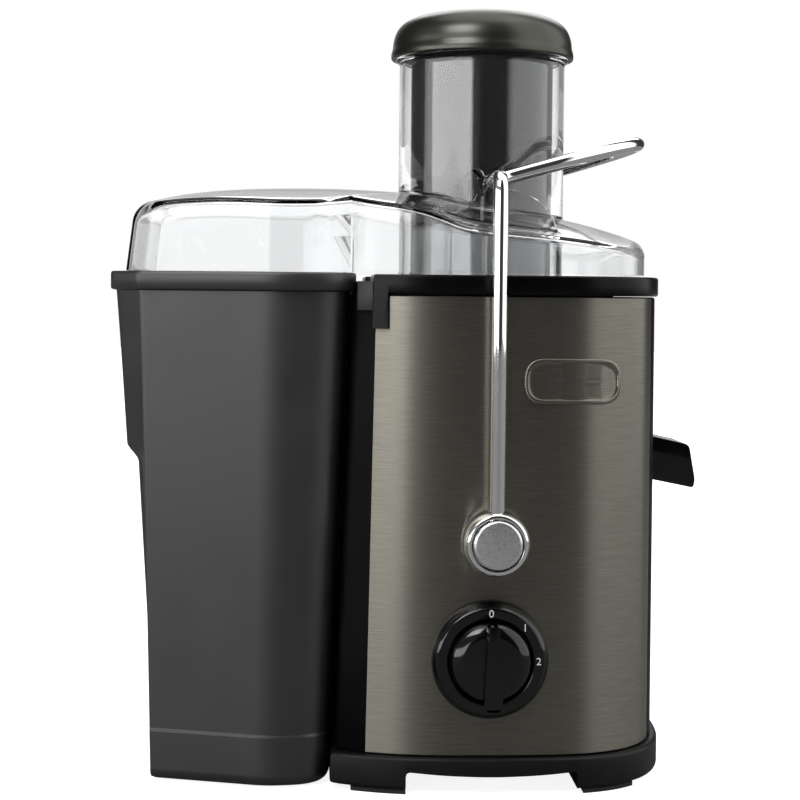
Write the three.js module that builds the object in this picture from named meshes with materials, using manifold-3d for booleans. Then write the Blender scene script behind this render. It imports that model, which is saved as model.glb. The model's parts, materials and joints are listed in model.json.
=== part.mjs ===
// Centrifugal juicer: motor base with a juice bowl and filter basket, a clear lid with a feed chute,
// a food pusher, a locking bail over the lid, a control knob and a pulp bin beside the base.
// Millimetres, +Z up, +X to the right of someone facing the control knob, +Y away from them.
// Pieces are laid out about the motor axis; the last lines move the origin under the middle of the object.

import * as THREE from 'three';
import { mergeVertices } from 'three/addons/utils/BufferGeometryUtils.js';
import Module from 'manifold-3d';

const wasm = await Module();
wasm.setup();

// ---------- driving dimensions ----------
const gap = 0.3; // left between neighbours that touch

const bodyHalfWidth = 80.8; // motor base, at its top
const bodyHalfDepth = 92;
const bodyLeft = -62; // flat left side that the pulp bin nests against
const bodySquareness = 3.4; // exponent of the superellipse plan
const bodyFlare = 0.018; // how much deeper the base is at its foot than at its top
const rightFlare = 0.006; // the same for the right side, which stands almost upright
const leftLean = 7.4; // how far the left side leans out towards the foot, beside the tapered bin
const bodyBottom = 17;
const bodyTop = 219.8;
const shellWall = 2.8;
const panelThick = 1;
const panelLeft = -52.8;
const collarLeft = -53.9;
const panelBack = -62; // where the metal panel ends on the right flank
const footHeight = 2.5;
const skirtProud = 3;
const archTop = 9.5;
const archHalfWidth = 38;

const collarTop = 228.9;
const collarProud = 1.5;
const deckZ = 119.5; // deck of the motor base that carries the juice bowl
const deckThick = 3;

const bowlRadius = 66;
const bowlFloor = 126;
const bowlWall = 2.5;
const spoutHalfWidth = 16;

const basketBottom = 152;
const basketTop = 216.2;
const basketBottomRadius = 45.5;
const basketTopRadius = 54;
const basketWall = 1.2;

const chuteX = 1;
const chuteRadius = 40;
const chuteWall = 2.5;
const chuteBottom = 172;
const chuteTop = 335;
const pusherRadius = 34.3;
const pusherBottom = 176;
const capRadius = 44.2;
const capBottom = 333.6;
const capTop = 355.3;
const pusherTop = 348;

const binLeftTop = -169.3;
const binEdgeTop = -156.6; // where the bevelled left corner meets the front face
const binRightTop = -63.5;
const binTop = 221.4;
const rimTop = 229.5;
const rimProud = 2.5;
const binWall = 2.2;

const lidWall = 2.5;
const lidBottom = rimTop + gap;
const lidHalfWidth = 76.1;
const lidHalfDepth = 87;
const lidLeftOfBowl = -67;

const pivotZ = 112.4;
const knobX = -1.5;
const knobZ = 60;
const rodRadius = 3.3;
const bailPlane = 104; // distance of each bail leg from the motor axis
const bailTop = 271.5; // rod centre where it crosses the lid
const bailReach = 76; // how far the handle loop reaches to the right
const bailLoopHalfDepth = 62;
const bailTilt = THREE.MathUtils.degToRad(16);

// ---------- materials ----------
function material(color, roughness, metalness = 0, opacity = 1) {
  return new THREE.MeshStandardMaterial({ color, roughness, metalness, opacity, transparent: opacity < 1 });
}

const looks = {
  blackPlastic: () => material(0x1a1a1a, 0.5),
  glossBlack: () => material(0x08080a, 0.15),
  binPlastic: () => material(0x3c3c3c, 0.55),
  greyPlastic: () => material(0x2e2f31, 0.5),
  brushedSteel: () => material(0x6b685f, 0.35, 0.9),
  chrome: () => material(0xdcdcdc, 0.06, 1),
  satin: () => material(0xb8b8b6, 0.3, 1),
  bronzeCap: () => material(0x4b4b43, 0.3, 0.4),
  pusherGrey: () => material(0x2d2f2f, 0.15, 0.3),
  clear: () => material(0xeef0f0, 0.05, 0, 0.35),
  rubber: () => material(0x101010, 0.9),
  steel: () => material(0xb4b4b4, 0.3, 1),
  copper: () => material(0xa85a2a, 0.4, 0.8),
  laminations: () => material(0x5e5e60, 0.5, 0.8),
};

// ---------- solids from three.js geometry ----------
function signedVolume(positions, index) {
  const a = new THREE.Vector3();
  const b = new THREE.Vector3();
  const c = new THREE.Vector3();
  let six = 0;
  for (let i = 0; i < index.length; i += 3) {
    a.fromArray(positions, index[i] * 3);
    b.fromArray(positions, index[i + 1] * 3);
    c.fromArray(positions, index[i + 2] * 3);
    six += a.dot(b.cross(c));
  }
  return six / 6;
}

function solid(geometry) {
  const bare = geometry.clone();
  bare.deleteAttribute('normal');
  bare.deleteAttribute('uv');
  const merged = mergeVertices(bare, 1e-4);
  const vertProperties = Float32Array.from(merged.attributes.position.array);
  const triVerts = Uint32Array.from(merged.index.array);
  if (signedVolume(vertProperties, triVerts) < 0) triVerts.reverse();
  return new wasm.Manifold(new wasm.Mesh({ numProp: 3, vertProperties, triVerts }));
}

function warp(geometry, move) {
  const p = geometry.attributes.position;
  const v = new THREE.Vector3();
  for (let i = 0; i < p.count; i += 1) {
    v.fromBufferAttribute(p, i);
    move(v);
    p.setXYZ(i, v.x, v.y, v.z);
  }
  return geometry;
}

function box(x0, x1, y0, y1, z0, z1) {
  const geometry = new THREE.BoxGeometry(x1 - x0, y1 - y0, z1 - z0);
  return solid(geometry.translate((x0 + x1) / 2, (y0 + y1) / 2, (z0 + z1) / 2));
}

function cone(bottomRadius, topRadius, z0, z1, x = 0, y = 0, sides = 32) {
  const geometry = new THREE.CylinderGeometry(topRadius, bottomRadius, z1 - z0, sides);
  return solid(geometry.rotateX(Math.PI / 2).translate(x, y, (z0 + z1) / 2));
}

function cylinder(radius, z0, z1, x = 0, y = 0, sides = 32) {
  return cone(radius, radius, z0, z1, x, y, sides);
}

function ring(outer, inner, z0, z1, x = 0, y = 0, sides = 32) {
  return cylinder(outer, z0, z1, x, y, sides).subtract(cylinder(inner, z0 - 1, z1 + 1, x, y, sides));
}

// profile: [radius, height] pairs that start and end on the axis or close on themselves
function lathe(profile, sides = 32) {
  const points = profile.map(([r, h]) => new THREE.Vector2(r, h));
  return new THREE.LatheGeometry(points, sides).rotateX(Math.PI / 2);
}

function prism(shape, z0, z1, curveSegments = 6, steps = 1) {
  const options = { depth: z1 - z0, bevelEnabled: false, curveSegments, steps };
  return new THREE.ExtrudeGeometry(shape, options).translate(0, 0, z0);
}

function rod(curve, radius, steps, sides = 8) {
  const section = new THREE.Shape();
  for (let i = 0; i < sides; i += 1) {
    const a = (2 * Math.PI * i) / sides;
    if (i === 0) section.moveTo(radius * Math.cos(a), radius * Math.sin(a));
    else section.lineTo(radius * Math.cos(a), radius * Math.sin(a));
  }
  return solid(new THREE.ExtrudeGeometry(section, { extrudePath: curve, steps }));
}

// A geometry made about +Z is turned to stand out of the front (side -1) or the rear (side 1).
function facing(geometry, side, x, z, out) {
  return solid(geometry.rotateX((-side * Math.PI) / 2).translate(x, side * out, z));
}

function mesh(name, piece, look) {
  const { vertProperties, triVerts } = piece.getMesh();
  const geometry = new THREE.BufferGeometry();
  geometry.setAttribute('position', new THREE.BufferAttribute(Float32Array.from(vertProperties), 3));
  geometry.setIndex(new THREE.BufferAttribute(Uint32Array.from(triVerts), 1));
  geometry.computeVertexNormals();
  const result = new THREE.Mesh(geometry, look());
  result.name = name;
  return result;
}

// ---------- outlines ----------
function superellipse(halfWidth, halfDepth, left = -Infinity, points = 36) {
  const shape = new THREE.Shape();
  for (let i = 0; i < points; i += 1) {
    const a = (2 * Math.PI * (i + 0.5)) / points;
    const power = 2 / bodySquareness;
    const x = halfWidth * Math.sign(Math.cos(a)) * Math.abs(Math.cos(a)) ** power;
    const y = halfDepth * Math.sign(Math.sin(a)) * Math.abs(Math.sin(a)) ** power;
    if (i === 0) shape.moveTo(Math.max(x, left), y);
    else shape.lineTo(Math.max(x, left), y);
  }
  return shape;
}

function roundedPolygon(corners) {
  const shape = new THREE.Shape();
  const count = corners.length;
  for (let i = 0; i < count; i += 1) {
    const [x, y, radius] = corners[i];
    const [px, py] = corners[(i + count - 1) % count];
    const [nx, ny] = corners[(i + 1) % count];
    const here = new THREE.Vector2(x, y);
    const start = new THREE.Vector2(px, py).sub(here).setLength(radius).add(here);
    const end = new THREE.Vector2(nx, ny).sub(here).setLength(radius).add(here);
    if (i === 0) shape.moveTo(start.x, start.y);
    else shape.lineTo(start.x, start.y);
    shape.quadraticCurveTo(x, y, end.x, end.y);
  }
  return shape;
}

function roundedRectangle(width, depth, radius) {
  const w = width / 2;
  const d = depth / 2;
  return roundedPolygon([[-w, -d, radius], [w, -d, radius], [w, d, radius], [-w, d, radius]]);
}

// ---------- motor base ----------
// The walls of the base flare towards the foot; outset is measured outwards from its face.
function bodyBlock(outset, z0, z1, left = bodyLeft) {
  const outline = superellipse(bodyHalfWidth + outset, bodyHalfDepth + outset, left - outset);
  return solid(warp(prism(outline, z0, z1), (v) => {
    const drop = (bodyTop - v.z) / (bodyTop - bodyBottom);
    v.y *= 1 + bodyFlare * drop;
    if (v.x > 0) v.x *= 1 + rightFlare * drop;
    else v.x -= leftLean * drop * (v.x / bodyLeft) ** 5;
  }));
}

// everything in front of the metal panel's edges; the left edge follows the lean of the body
function panelSector(z0, z1, margin = 0) {
  const geometry = new THREE.BoxGeometry(120 - panelLeft + margin, 130 + panelBack + margin, z1 - z0);
  geometry.translate((120 + panelLeft - margin) / 2, (panelBack + margin - 130) / 2, (z0 + z1) / 2);
  return solid(warp(geometry, (v) => {
    if (v.x < 0) v.x -= (3.3 * (bodyTop - v.z)) / (bodyTop - bodyBottom);
  }));
}

function throughFront(radius, x, z, side = -1, from = 70, to = 130) {
  const drill = new THREE.CylinderGeometry(radius, radius, to - from, 16);
  return solid(drill.translate(x, (side * (from + to)) / 2, z));
}

function baseFrame() {
  let frame = bodyBlock(skirtProud, footHeight, bodyBottom - gap, bodyLeft + 2.6);
  frame = frame.subtract(bodyBlock(-1, archTop + 3, bodyBottom + 1));
  frame = frame.subtract(box(-archHalfWidth, archHalfWidth, -130, 130, 0, archTop));
  frame = frame.subtract(box(-130, 130, -50, 50, 0, archTop));
  for (let i = -3; i <= 3; i += 1) {
    frame = frame.subtract(box(i * 12 - 3, i * 12 + 3, -32, 32, archTop - 1, archTop + 4));
  }
  screwPlaces.forEach(([x, y]) => {
    frame = frame.subtract(cylinder(2, archTop - 1, archTop + 4, x, y, 16));
  });
  return frame;
}

const screwPlaces = [[-28, -62], [28, -62], [-28, 62], [28, 62]];

function baseScrew([x, y]) {
  const head = cylinder(3.6, archTop - 2.1, archTop - gap, x, y, 16);
  return head.add(cylinder(1.6, archTop - 0.5, bodyBottom - 1, x, y, 16));
}

const footPlaces = [[-50, -80], [53, -79], [-50, 80], [53, 79]];

// pad under each corner that follows the outline of the base
function rubberFoot([x, y]) {
  const [y0, y1] = y < 0 ? [-110, y + 8] : [y - 8, 110];
  return bodyBlock(1.5, 0, footHeight - gap).intersect(box(x - 12, x + 12, y0, y1, -1, footHeight));
}

function motorHousing() {
  let housing = bodyBlock(0, bodyBottom, bodyTop);
  housing = housing.subtract(bodyBlock(-shellWall, bodyBottom - 1, deckZ));
  housing = housing.subtract(bodyBlock(-shellWall, deckZ + deckThick, bodyTop + 1));
  housing = housing.subtract(panelSector(0, 300).subtract(bodyBlock(-panelThick - gap, 0, 300)));
  housing = housing.subtract(cylinder(22, deckZ - 1, deckZ + deckThick + 1));
  housing = housing.subtract(box(68, 95, -spoutHalfWidth - gap, spoutHalfWidth + gap, 130, 155.2));
  for (const side of [-1, 1]) housing = housing.subtract(throughFront(4.6, 0, pivotZ, side));
  housing = housing.subtract(throughFront(6, knobX, knobZ));
  housing = housing.subtract(throughFront(8, 36, 34, 1));
  for (let i = 0; i < 5; i += 1) {
    housing = housing.subtract(box(-36, 14, 80, 110, 32 + i * 8, 35.5 + i * 8));
  }
  return housing;
}

function frontPanel() {
  let panel = bodyBlock(0, bodyBottom + gap, bodyTop - gap).subtract(bodyBlock(-panelThick, 0, 300));
  panel = panel.intersect(panelSector(0, 300, -gap));
  panel = panel.subtract(throughFront(5, 0, pivotZ));
  return panel.subtract(throughFront(6.4, knobX, knobZ));
}

// plain pill-shaped emblem with a raised border, curved with the panel
function badgePlate() {
  const [x, z, width, height] = [34.5, 182.5, 44, 20];
  const pill = (w, h) => {
    const outline = prism(roundedRectangle(w, h, h / 2), 60, 120, 6);
    return solid(outline.rotateX(Math.PI / 2).translate(x, 0, z));
  };
  const plate = bodyBlock(gap + 0.5, 100, 210).subtract(bodyBlock(gap, 99, 211));
  const raised = bodyBlock(gap + 1.1, 100, 210).subtract(bodyBlock(gap + 0.3, 99, 211));
  const border = pill(width, height).subtract(pill(width - 4, height - 4));
  return plate.intersect(pill(width, height)).add(raised.intersect(border));
}

function topCollar() {
  const collarBottom = bodyTop + gap;
  let collar = bodyBlock(collarProud, collarBottom, collarTop, collarLeft + collarProud);
  collar = collar.subtract(cylinder(bowlRadius + 2, collarBottom - 1, collarTop + 1, 0, 0, 36));
  for (const side of [-1, 1]) {
    const skin = bodyBlock(collarProud, 205, collarBottom + 1).subtract(bodyBlock(gap, 204, collarBottom + 2));
    const [y0, y1] = side < 0 ? [-130, -60] : [60, 130];
    collar = collar.add(skin.intersect(box(collarLeft, -47.5, y0, y1, 205, collarBottom + 1)));
  }
  return collar;
}

// bridge on the left that carries the pulp from the basket rim over the edge of the bin;
// its ends fold down over the front and the rear of the housing
function pulpApron() {
  const low = bodyTop + gap;
  let apron = box(-60.7, -56.6, -75, 75, low, 225.8).subtract(box(-80, -50, -46, 46, 222.2, 230));
  for (const side of [-1, 1]) {
    const [y0, y1] = side < 0 ? [-130, -70] : [70, 130];
    const lip = bodyBlock(1.5, 213, 225.8).subtract(bodyBlock(gap, 210, low));
    apron = apron.add(lip.intersect(box(-60.7, collarLeft - gap, y0, y1, 210, 230)));
  }
  return apron;
}

// ---------- juice bowl, spout and seal ----------
function juiceBowl() {
  const left = -58.9;
  let bowl = cylinder(bowlRadius, bowlFloor, 226, 0, 0, 36).add(cylinder(bowlRadius + 1.5, 222, 226, 0, 0, 36));
  bowl = bowl.intersect(box(left, 100, -100, 100, 0, 300));
  const inside = cylinder(bowlRadius - bowlWall, bowlFloor + 3, 230, 0, 0, 36);
  bowl = bowl.subtract(inside.intersect(box(left + bowlWall, 100, -100, 100, 0, 300)));
  bowl = bowl.add(cylinder(20, bowlFloor, 148)).subtract(cylinder(12.5, 120, 150));
  bowl = bowl.subtract(box(56, 70, -13, 13, 132, 149));
  return bowl.subtract(box(-75, -48, -90, 90, bodyTop - gap, 240));
}

function bowlSeal() {
  return ring(20, 14, deckZ + deckThick + gap, bowlFloor - gap);
}

// closed channel that slopes down to the right; the mouth is cut square to it
function juiceSpout() {
  const side = new THREE.Shape();
  side.moveTo(67, 156.4);
  side.lineTo(100.6, 149);
  side.quadraticCurveTo(103, 147.8, 105.2, 131);
  side.lineTo(104.2, 127.8);
  side.lineTo(67, 135.2);
  side.closePath();
  const bore = new THREE.Shape();
  bore.moveTo(60, 155.4);
  bore.lineTo(112, 144);
  bore.lineTo(112, 129.2);
  bore.lineTo(60, 139.6);
  bore.closePath();
  const slab = (shape, half) => solid(prism(shape, -half, half, 5).rotateX(Math.PI / 2));
  return slab(side, spoutHalfWidth).subtract(slab(bore, spoutHalfWidth - 2.4));
}

function spoutEscutcheon() {
  const outline = prism(roundedRectangle(37.4, 27, 3.5), 81.2, 83.9, 5).rotateX(Math.PI / 2).rotateZ(Math.PI / 2);
  const plate = solid(outline.translate(0, 0, 142.8));
  return plate.subtract(box(70, 90, -spoutHalfWidth - gap, spoutHalfWidth + gap, 131.6, 154));
}

// ---------- filter basket and drive ----------
function filterBasket() {
  const hub = 15;
  const inset = basketWall;
  const outer = cone(basketBottomRadius, basketTopRadius, basketBottom, basketTop);
  const inner = cone(basketBottomRadius - inset, basketTopRadius - inset, basketBottom + 2, basketTop + 0.1);
  return outer.subtract(inner).add(cylinder(hub, 150, 164)).subtract(cylinder(10.5, 149, 161));
}

function graterDisc() {
  let disc = ring(basketBottomRadius - basketWall - 2, 15.5, basketBottom + 2 + gap, basketBottom + 4);
  for (let row = 0; row < 2; row += 1) {
    const count = 5 + row * 3;
    for (let i = 0; i < count; i += 1) {
      const a = (2 * Math.PI * i) / count + row * 0.2;
      const r = 22 + row * 11;
      const tooth = cone(1.8, 0.5, basketBottom + 3.5, basketBottom + 6, r * Math.cos(a), r * Math.sin(a), 5);
      disc = disc.add(tooth);
    }
  }
  return disc;
}

function basketRim() {
  return ring(basketTopRadius + 1.4, basketTopRadius - 2.6, basketTop + gap, 222, 0, 0, 32);
}

function driveCoupling() {
  let coupling = cylinder(8.4, 124, 160, 0, 0, 24);
  for (let i = 0; i < 3; i += 1) {
    const a = (2 * Math.PI * i) / 3;
    coupling = coupling.add(cylinder(3, 124, 160, 7 * Math.cos(a), 7 * Math.sin(a), 12));
  }
  return coupling.subtract(cylinder(4.3, 120, 146.5, 0, 0, 20));
}

// ---------- motor ----------
const boltPlaces = [-31, 31];

function motorStator() {
  let stack = solid(prism(roundedRectangle(76, 66, 18), 50, 88, 5));
  stack = stack.subtract(cylinder(20.6, 40, 100));
  for (const side of [-1, 1]) {
    for (const x of [-18, 18]) {
      const [y0, y1] = side < 0 ? [-28.8, -14] : [14, 28.8];
      stack = stack.subtract(box(x - 3.3, x + 3.3, y0, y1, 40, 100));
    }
  }
  boltPlaces.forEach((x) => {
    stack = stack.subtract(cylinder(2.5, 40, 100, x, 0, 16));
  });
  return stack;
}

function fieldCoil(side) {
  const [y0, y1] = side < 0 ? [-28.5, -21.5] : [21.5, 28.5];
  return box(-21, 21, y0, y1, 44, 94).subtract(box(-15, 15, y0 - 1, y1 + 1, 50 - gap, 88 + gap));
}

function motorBracket(z0, z1, seatRadius, width, depth) {
  let bracket = solid(prism(roundedRectangle(width, depth, 8), z0, z1, 4));
  bracket = bracket.subtract(cylinder(seatRadius, z0 - 1, z1 + 1));
  boltPlaces.forEach((x) => {
    bracket = bracket.subtract(cylinder(2.5, z0 - 1, z1 + 1, x, 0, 16));
  });
  return bracket;
}

function motorBolt(x) {
  return cylinder(2.2, 24, 110, x, 0, 16).add(cylinder(4, 22, 25.7, x, 0, 6));
}

const bushPlaces = [[-40, -12], [40, -12], [-40, 12], [40, 12]];

function motorBush([x, y]) {
  return ring(6, 2, 108 + gap, deckZ - gap, x, y, 20);
}

function brushHolder(side) {
  const [x0, x1] = side < 0 ? [-27, -12.4] : [12.4, 27];
  return box(x0, x1, -4, 4, 35, 42);
}

function armatureCore() {
  let core = cylinder(19.6, 51, 87).subtract(cylinder(4.3, 50, 90, 0, 0, 20));
  for (let i = 0; i < 8; i += 1) {
    const a = (Math.PI * i) / 4;
    const slot = new THREE.BoxGeometry(7, 1.6, 50).translate(17.5, 0, 69).rotateZ(a);
    core = core.subtract(solid(slot));
  }
  return core;
}

function coolingFan() {
  let fan = ring(9, 4.3, 95, 103).add(ring(27.5, 8, 95, 96.4));
  for (let i = 0; i < 6; i += 1) {
    const blade = new THREE.BoxGeometry(19, 1.4, 6.4).translate(17.5, 0, 99.4).rotateZ((Math.PI * i) / 3);
    fan = fan.add(solid(blade));
  }
  return fan;
}

// ---------- controls ----------
function knobBezel() {
  const profile = [[7, 0.6], [26, 0.6], [26, 2.5], [24.5, 5], [22.9, 6.2], [19.2, 6.2], [18.2, 5.4], [18.2, 2.6],
    [7, 2.6], [7, 0.6]];
  return facing(lathe(profile, 28), -1, knobX, knobZ, bodyHalfDepth + 1);
}

function controlKnob() {
  const profile = [[0, 3.2], [17.6, 3.2], [17.6, 8], [16, 10.6], [12, 11.6], [0, 11.6]];
  const disc = facing(lathe(profile, 28), -1, knobX, knobZ, bodyHalfDepth + 1);
  const bar = new THREE.Shape();
  bar.moveTo(-2.1, 17);
  bar.quadraticCurveTo(0, 18.4, 2.1, 17);
  bar.lineTo(4.1, -17);
  bar.quadraticCurveTo(0, -20.5, -4.1, -17);
  bar.closePath();
  const grip = prism(bar, 8, 20, 4).rotateX(Math.PI / 2).translate(knobX, -bodyHalfDepth - 1, knobZ);
  return disc.add(solid(grip)).subtract(throughFront(3.3, knobX, knobZ, -1, 80, 101));
}

function knobShaft() {
  return throughFront(3, knobX, knobZ, -1, 70, 100);
}

function rotarySwitch() {
  const block = box(knobX - 16, knobX + 16, -87, -66, knobZ - 15, knobZ + 15);
  return block.subtract(throughFront(3.3, knobX, knobZ, -1, 69, 120));
}

// ---------- clear lid ----------
// ridge and shoulder heights of the lid along x: middle of the roof, and its front and rear edges
const ridge = [[-170, 260], [-140, 267], [-90, 270], [-38, 268.6], [0, 263.5], [42, 256], [66, 249.5], [82, 243]];
const shoulder = [[-170, 256], [-120, 260], [-45, 259], [-30, 256.5], [-11, 250], [24, 246.2], [41, 243.4],
  [56, 238.8], [70, 233.5], [82, 226]];

function heightAt(points, x) {
  const i = Math.max(1, points.findIndex(([px]) => px > x));
  const [x0, z0] = points[i - 1];
  const [x1, z1] = points[i];
  return THREE.MathUtils.mapLinear(x, x0, x1, z0, z1);
}

function roofHeight(x, y) {
  const bulge = Math.min(1, Math.abs(y) / lidHalfDepth) ** 2.2;
  const inside = THREE.MathUtils.clamp(x, -169.9, 81.9);
  return THREE.MathUtils.lerp(heightAt(ridge, inside), heightAt(shoulder, inside), bulge);
}

function underRoof(lower) {
  const geometry = new THREE.BoxGeometry(300, 200, 200, 18, 6, 1).translate(-40, 0, 150);
  return solid(warp(geometry, (v) => {
    if (v.z > 200) v.z = roofHeight(v.x, v.y) - lower;
  }));
}

function lidBody(inset, z0) {
  const hood = solid(warp(prism(binOutline(4 + inset), z0, 300, 4), (v) => {
    if (v.x < -100) v.x += ((v.z - lidBottom) * 0.13 * (-100 - v.x)) / 66;
  }));
  const bowlOutline = superellipse(lidHalfWidth - inset, lidHalfDepth - inset, lidLeftOfBowl + inset);
  const throat = box(-90, -50, -62 + inset, 62 - inset, z0, 300);
  return hood.add(solid(prism(bowlOutline, z0, 300))).add(throat).intersect(underRoof(inset));
}

// upright plate on the lid with the notch that the bail rod drops into
function lockingFin(side) {
  const outline = new THREE.Shape();
  outline.moveTo(-21.5, 246);
  outline.lineTo(-21.5, 257);
  outline.quadraticCurveTo(-17.5, 272, -7.7, 276.8);
  outline.quadraticCurveTo(-4.6, 277.1, -3.9, 273.5);
  outline.absarc(0, bailTop, rodRadius + 0.6, Math.PI, 1.5 * Math.PI, false);
  outline.lineTo(10, 267);
  outline.quadraticCurveTo(22, 263.4, 30.5, 247);
  outline.lineTo(31, 238);
  outline.closePath();
  const thick = 2.4;
  const y = side * 76;
  return solid(prism(outline, -thick / 2, thick / 2, 8).rotateX(Math.PI / 2).translate(0, y, 0));
}

function clearLid() {
  let lid = lidBody(0, lidBottom).subtract(lidBody(lidWall, lidBottom - 5));
  lid = lid.add(lockingFin(-1)).add(lockingFin(1));
  return lid.subtract(cylinder(chuteRadius + gap, lidBottom - 5, 300, chuteX, 0, 32));
}

// clear tube that guides the food, from just above the grater to the cap
function feedChute() {
  const tube = cylinder(chuteRadius, chuteBottom, chuteTop, chuteX);
  const flange = cone(chuteRadius, chuteRadius + 1.9, chuteTop - 3.4, chuteTop, chuteX);
  return tube.add(flange).subtract(cylinder(chuteRadius - chuteWall, chuteBottom - 1, chuteTop + 1, chuteX));
}

// ---------- pusher ----------
function pusherBody() {
  const tube = cylinder(pusherRadius, pusherBottom, pusherTop, chuteX, 0, 32);
  return tube.subtract(cylinder(pusherRadius - 2.4, pusherBottom + 3, 352, chuteX, 0, 32));
}

function pusherCap() {
  const r = capRadius;
  const ledge = chuteTop + gap;
  const outside = [[r - 0.6, capBottom], [r, capBottom + 0.6], [r, capBottom + 2.8], [r - 0.6, capBottom + 4.6],
    [r - 1.2, capTop - 11], [r - 2.9, capTop - 5], [r - 7, capTop - 1.6], [r - 14, capTop - 0.5], [0, capTop]];
  const inside = [[0, capTop - 4], [r - 12, capTop - 4.5], [r - 4.6, capTop - 10], [r - 4.6, ledge], [r - 2, ledge],
    [r - 2, capBottom]];
  const profile = [...inside, ...outside];
  return solid(lathe(profile, 28).translate(chuteX, 0, 0));
}

// ---------- pulp bin ----------
function binOutline(inset) {
  const left = binLeftTop + inset;
  const edge = binEdgeTop + 0.53 * inset;
  const right = binRightTop - inset;
  const corner = 18 - inset / 2;
  const half = [
    [left, -57 + 0.4 * inset, 3], [edge, -71.4 + 0.9 * inset, 2], [-96, -87.5 + inset, 8],
    [right, -84 + inset, corner],
  ];
  return roundedPolygon([...half, ...half.toReversed().map(([x, y, radius]) => [x, -y, radius])]);
}

// left wall: leans in towards the foot, with a step that fingers pull on
function binLeft(z) {
  if (z > 152) return THREE.MathUtils.mapLinear(z, 152, binTop, -164.7, binLeftTop);
  if (z > 144) return THREE.MathUtils.mapLinear(z, 144, 152, -159.5, -164.7);
  return THREE.MathUtils.mapLinear(z, 0, 144, -151, -159.5);
}

// how far a point of the outline moves sideways between the top of the bin and height z
function binShift(x, z) {
  const { mapLinear } = THREE.MathUtils;
  const atLeft = binLeft(z) - binLeftTop;
  const atEdge = mapLinear(z, 0, binTop, 5.1, 0);
  const atRight = mapLinear(z, 0, binTop, -8, 0);
  if (x < binLeftTop + 4.3) return atLeft;
  if (x < binEdgeTop - 0.4) return mapLinear(x, binLeftTop + 4.3, binEdgeTop - 0.4, atLeft, atEdge);
  return mapLinear(x, binEdgeTop - 0.4, binRightTop, atEdge, atRight);
}

function binBlock(inset, z0, z1) {
  const geometry = prism(binOutline(inset), 0, 1, 3, 4);
  const levels = [z0, 144, 152, Math.min(z1, binTop), z1];
  return solid(warp(geometry, (v) => {
    v.z = levels[Math.round(v.z * 4)];
    const level = Math.min(v.z, binTop);
    v.x += binShift(v.x, level);
    v.y *= 1 - (0.03 * (binTop - level)) / binTop;
  }));
}

function pulpBin() {
  const rim = solid(prism(binOutline(-rimProud), binTop, rimTop, 3));
  const body = binBlock(0, 0.6, binTop + 0.5);
  const hollow = solid(prism(binOutline(binWall), binTop - 0.5, rimTop + 1, 3));
  return body.add(rim).subtract(binBlock(binWall, 3, binTop)).subtract(hollow);
}

// ---------- bail ----------
class BailLine extends THREE.Curve {
  constructor() {
    super();
    const elbow = 8;
    const path = new THREE.CurvePath();
    const p = (x, y, z) => new THREE.Vector3(x, y, z);
    const front = [
      new THREE.LineCurve3(p(0, -bailPlane, pivotZ + 11.4), p(0, -bailPlane, bailTop - elbow)),
      new THREE.QuadraticBezierCurve3(
        p(0, -bailPlane, bailTop - elbow), p(0, -bailPlane, bailTop), p(0, -bailPlane + elbow, bailTop)),
      new THREE.LineCurve3(p(0, -bailPlane + elbow, bailTop), p(0, -bailLoopHalfDepth - 9, bailTop)),
      new THREE.QuadraticBezierCurve3(
        p(0, -bailLoopHalfDepth - 9, bailTop), p(0, -bailLoopHalfDepth, bailTop), BailLine.loop(-1.42)),
    ];
    front.forEach((curve) => path.add(curve));
    const steps = 16;
    const half = Array.from({ length: steps + 1 }, (_, i) => BailLine.loop(-1.42 + (2.84 * i) / steps));
    path.add(new THREE.CatmullRomCurve3(half));
    front.reverse().forEach((curve) => path.add(BailLine.mirrored(curve)));
    this.path = path;
  }

  // point of the tilted half-oval behind and in front of the chute
  static loop(angle) {
    const x = bailReach * Math.cos(angle) ** 0.8;
    const y = bailLoopHalfDepth * Math.sign(angle) * Math.abs(Math.sin(angle)) ** 0.8;
    return new THREE.Vector3(x, y, bailTop + x * Math.tan(bailTilt));
  }

  static mirrored(curve) {
    const flip = (v) => new THREE.Vector3(v.x, -v.y, v.z);
    if (curve.isLineCurve3) return new THREE.LineCurve3(flip(curve.v2), flip(curve.v1));
    return new THREE.QuadraticBezierCurve3(flip(curve.v2), flip(curve.v1), flip(curve.v0));
  }

  getPoint(t, target = new THREE.Vector3()) {
    return target.copy(this.path.getPoint(t));
  }
}

function bailRod() {
  return rod(new BailLine(), rodRadius, 52, 8);
}

function bailHub(side) {
  const profile = [[4.5, 1.8], [13.2, 1.8], [14.5, 3], [14.5, 13], [12.8, 15.8], [11.4, 15.8], [11.4, 11.5],
    [4.5, 11.5], [4.5, 1.8]];
  const hub = facing(lathe(profile, 24), side, 0, pivotZ, bodyHalfDepth + 1);
  const socket = new THREE.CylinderGeometry(rodRadius + gap, rodRadius + gap, 20, 16).rotateX(Math.PI / 2);
  return hub.subtract(solid(socket.translate(0, side * bailPlane, pivotZ + 19.7)));
}

function hubCap(side) {
  const profile = [[0, 13.4], [10.7, 13.4], [10.7, 16.4], [9.6, 17.4], [0, 17.8]];
  return facing(lathe(profile, 24), side, 0, pivotZ, bodyHalfDepth + 1);
}

function pivotPin(side) {
  const stem = throughFront(4, 0, pivotZ, side, 84, 105.5);
  return stem.add(throughFront(7, 0, pivotZ, side, 84, 87));
}

// ---------- inside and behind ----------
function inletGland() {
  const profile = [[4, -6], [7.6, -6], [7.6, 1], [10, 1], [10, 3], [7, 9], [4, 9], [4, -6]];
  return facing(lathe(profile, 24), 1, 36, 34, bodyHalfDepth + 1);
}

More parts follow.
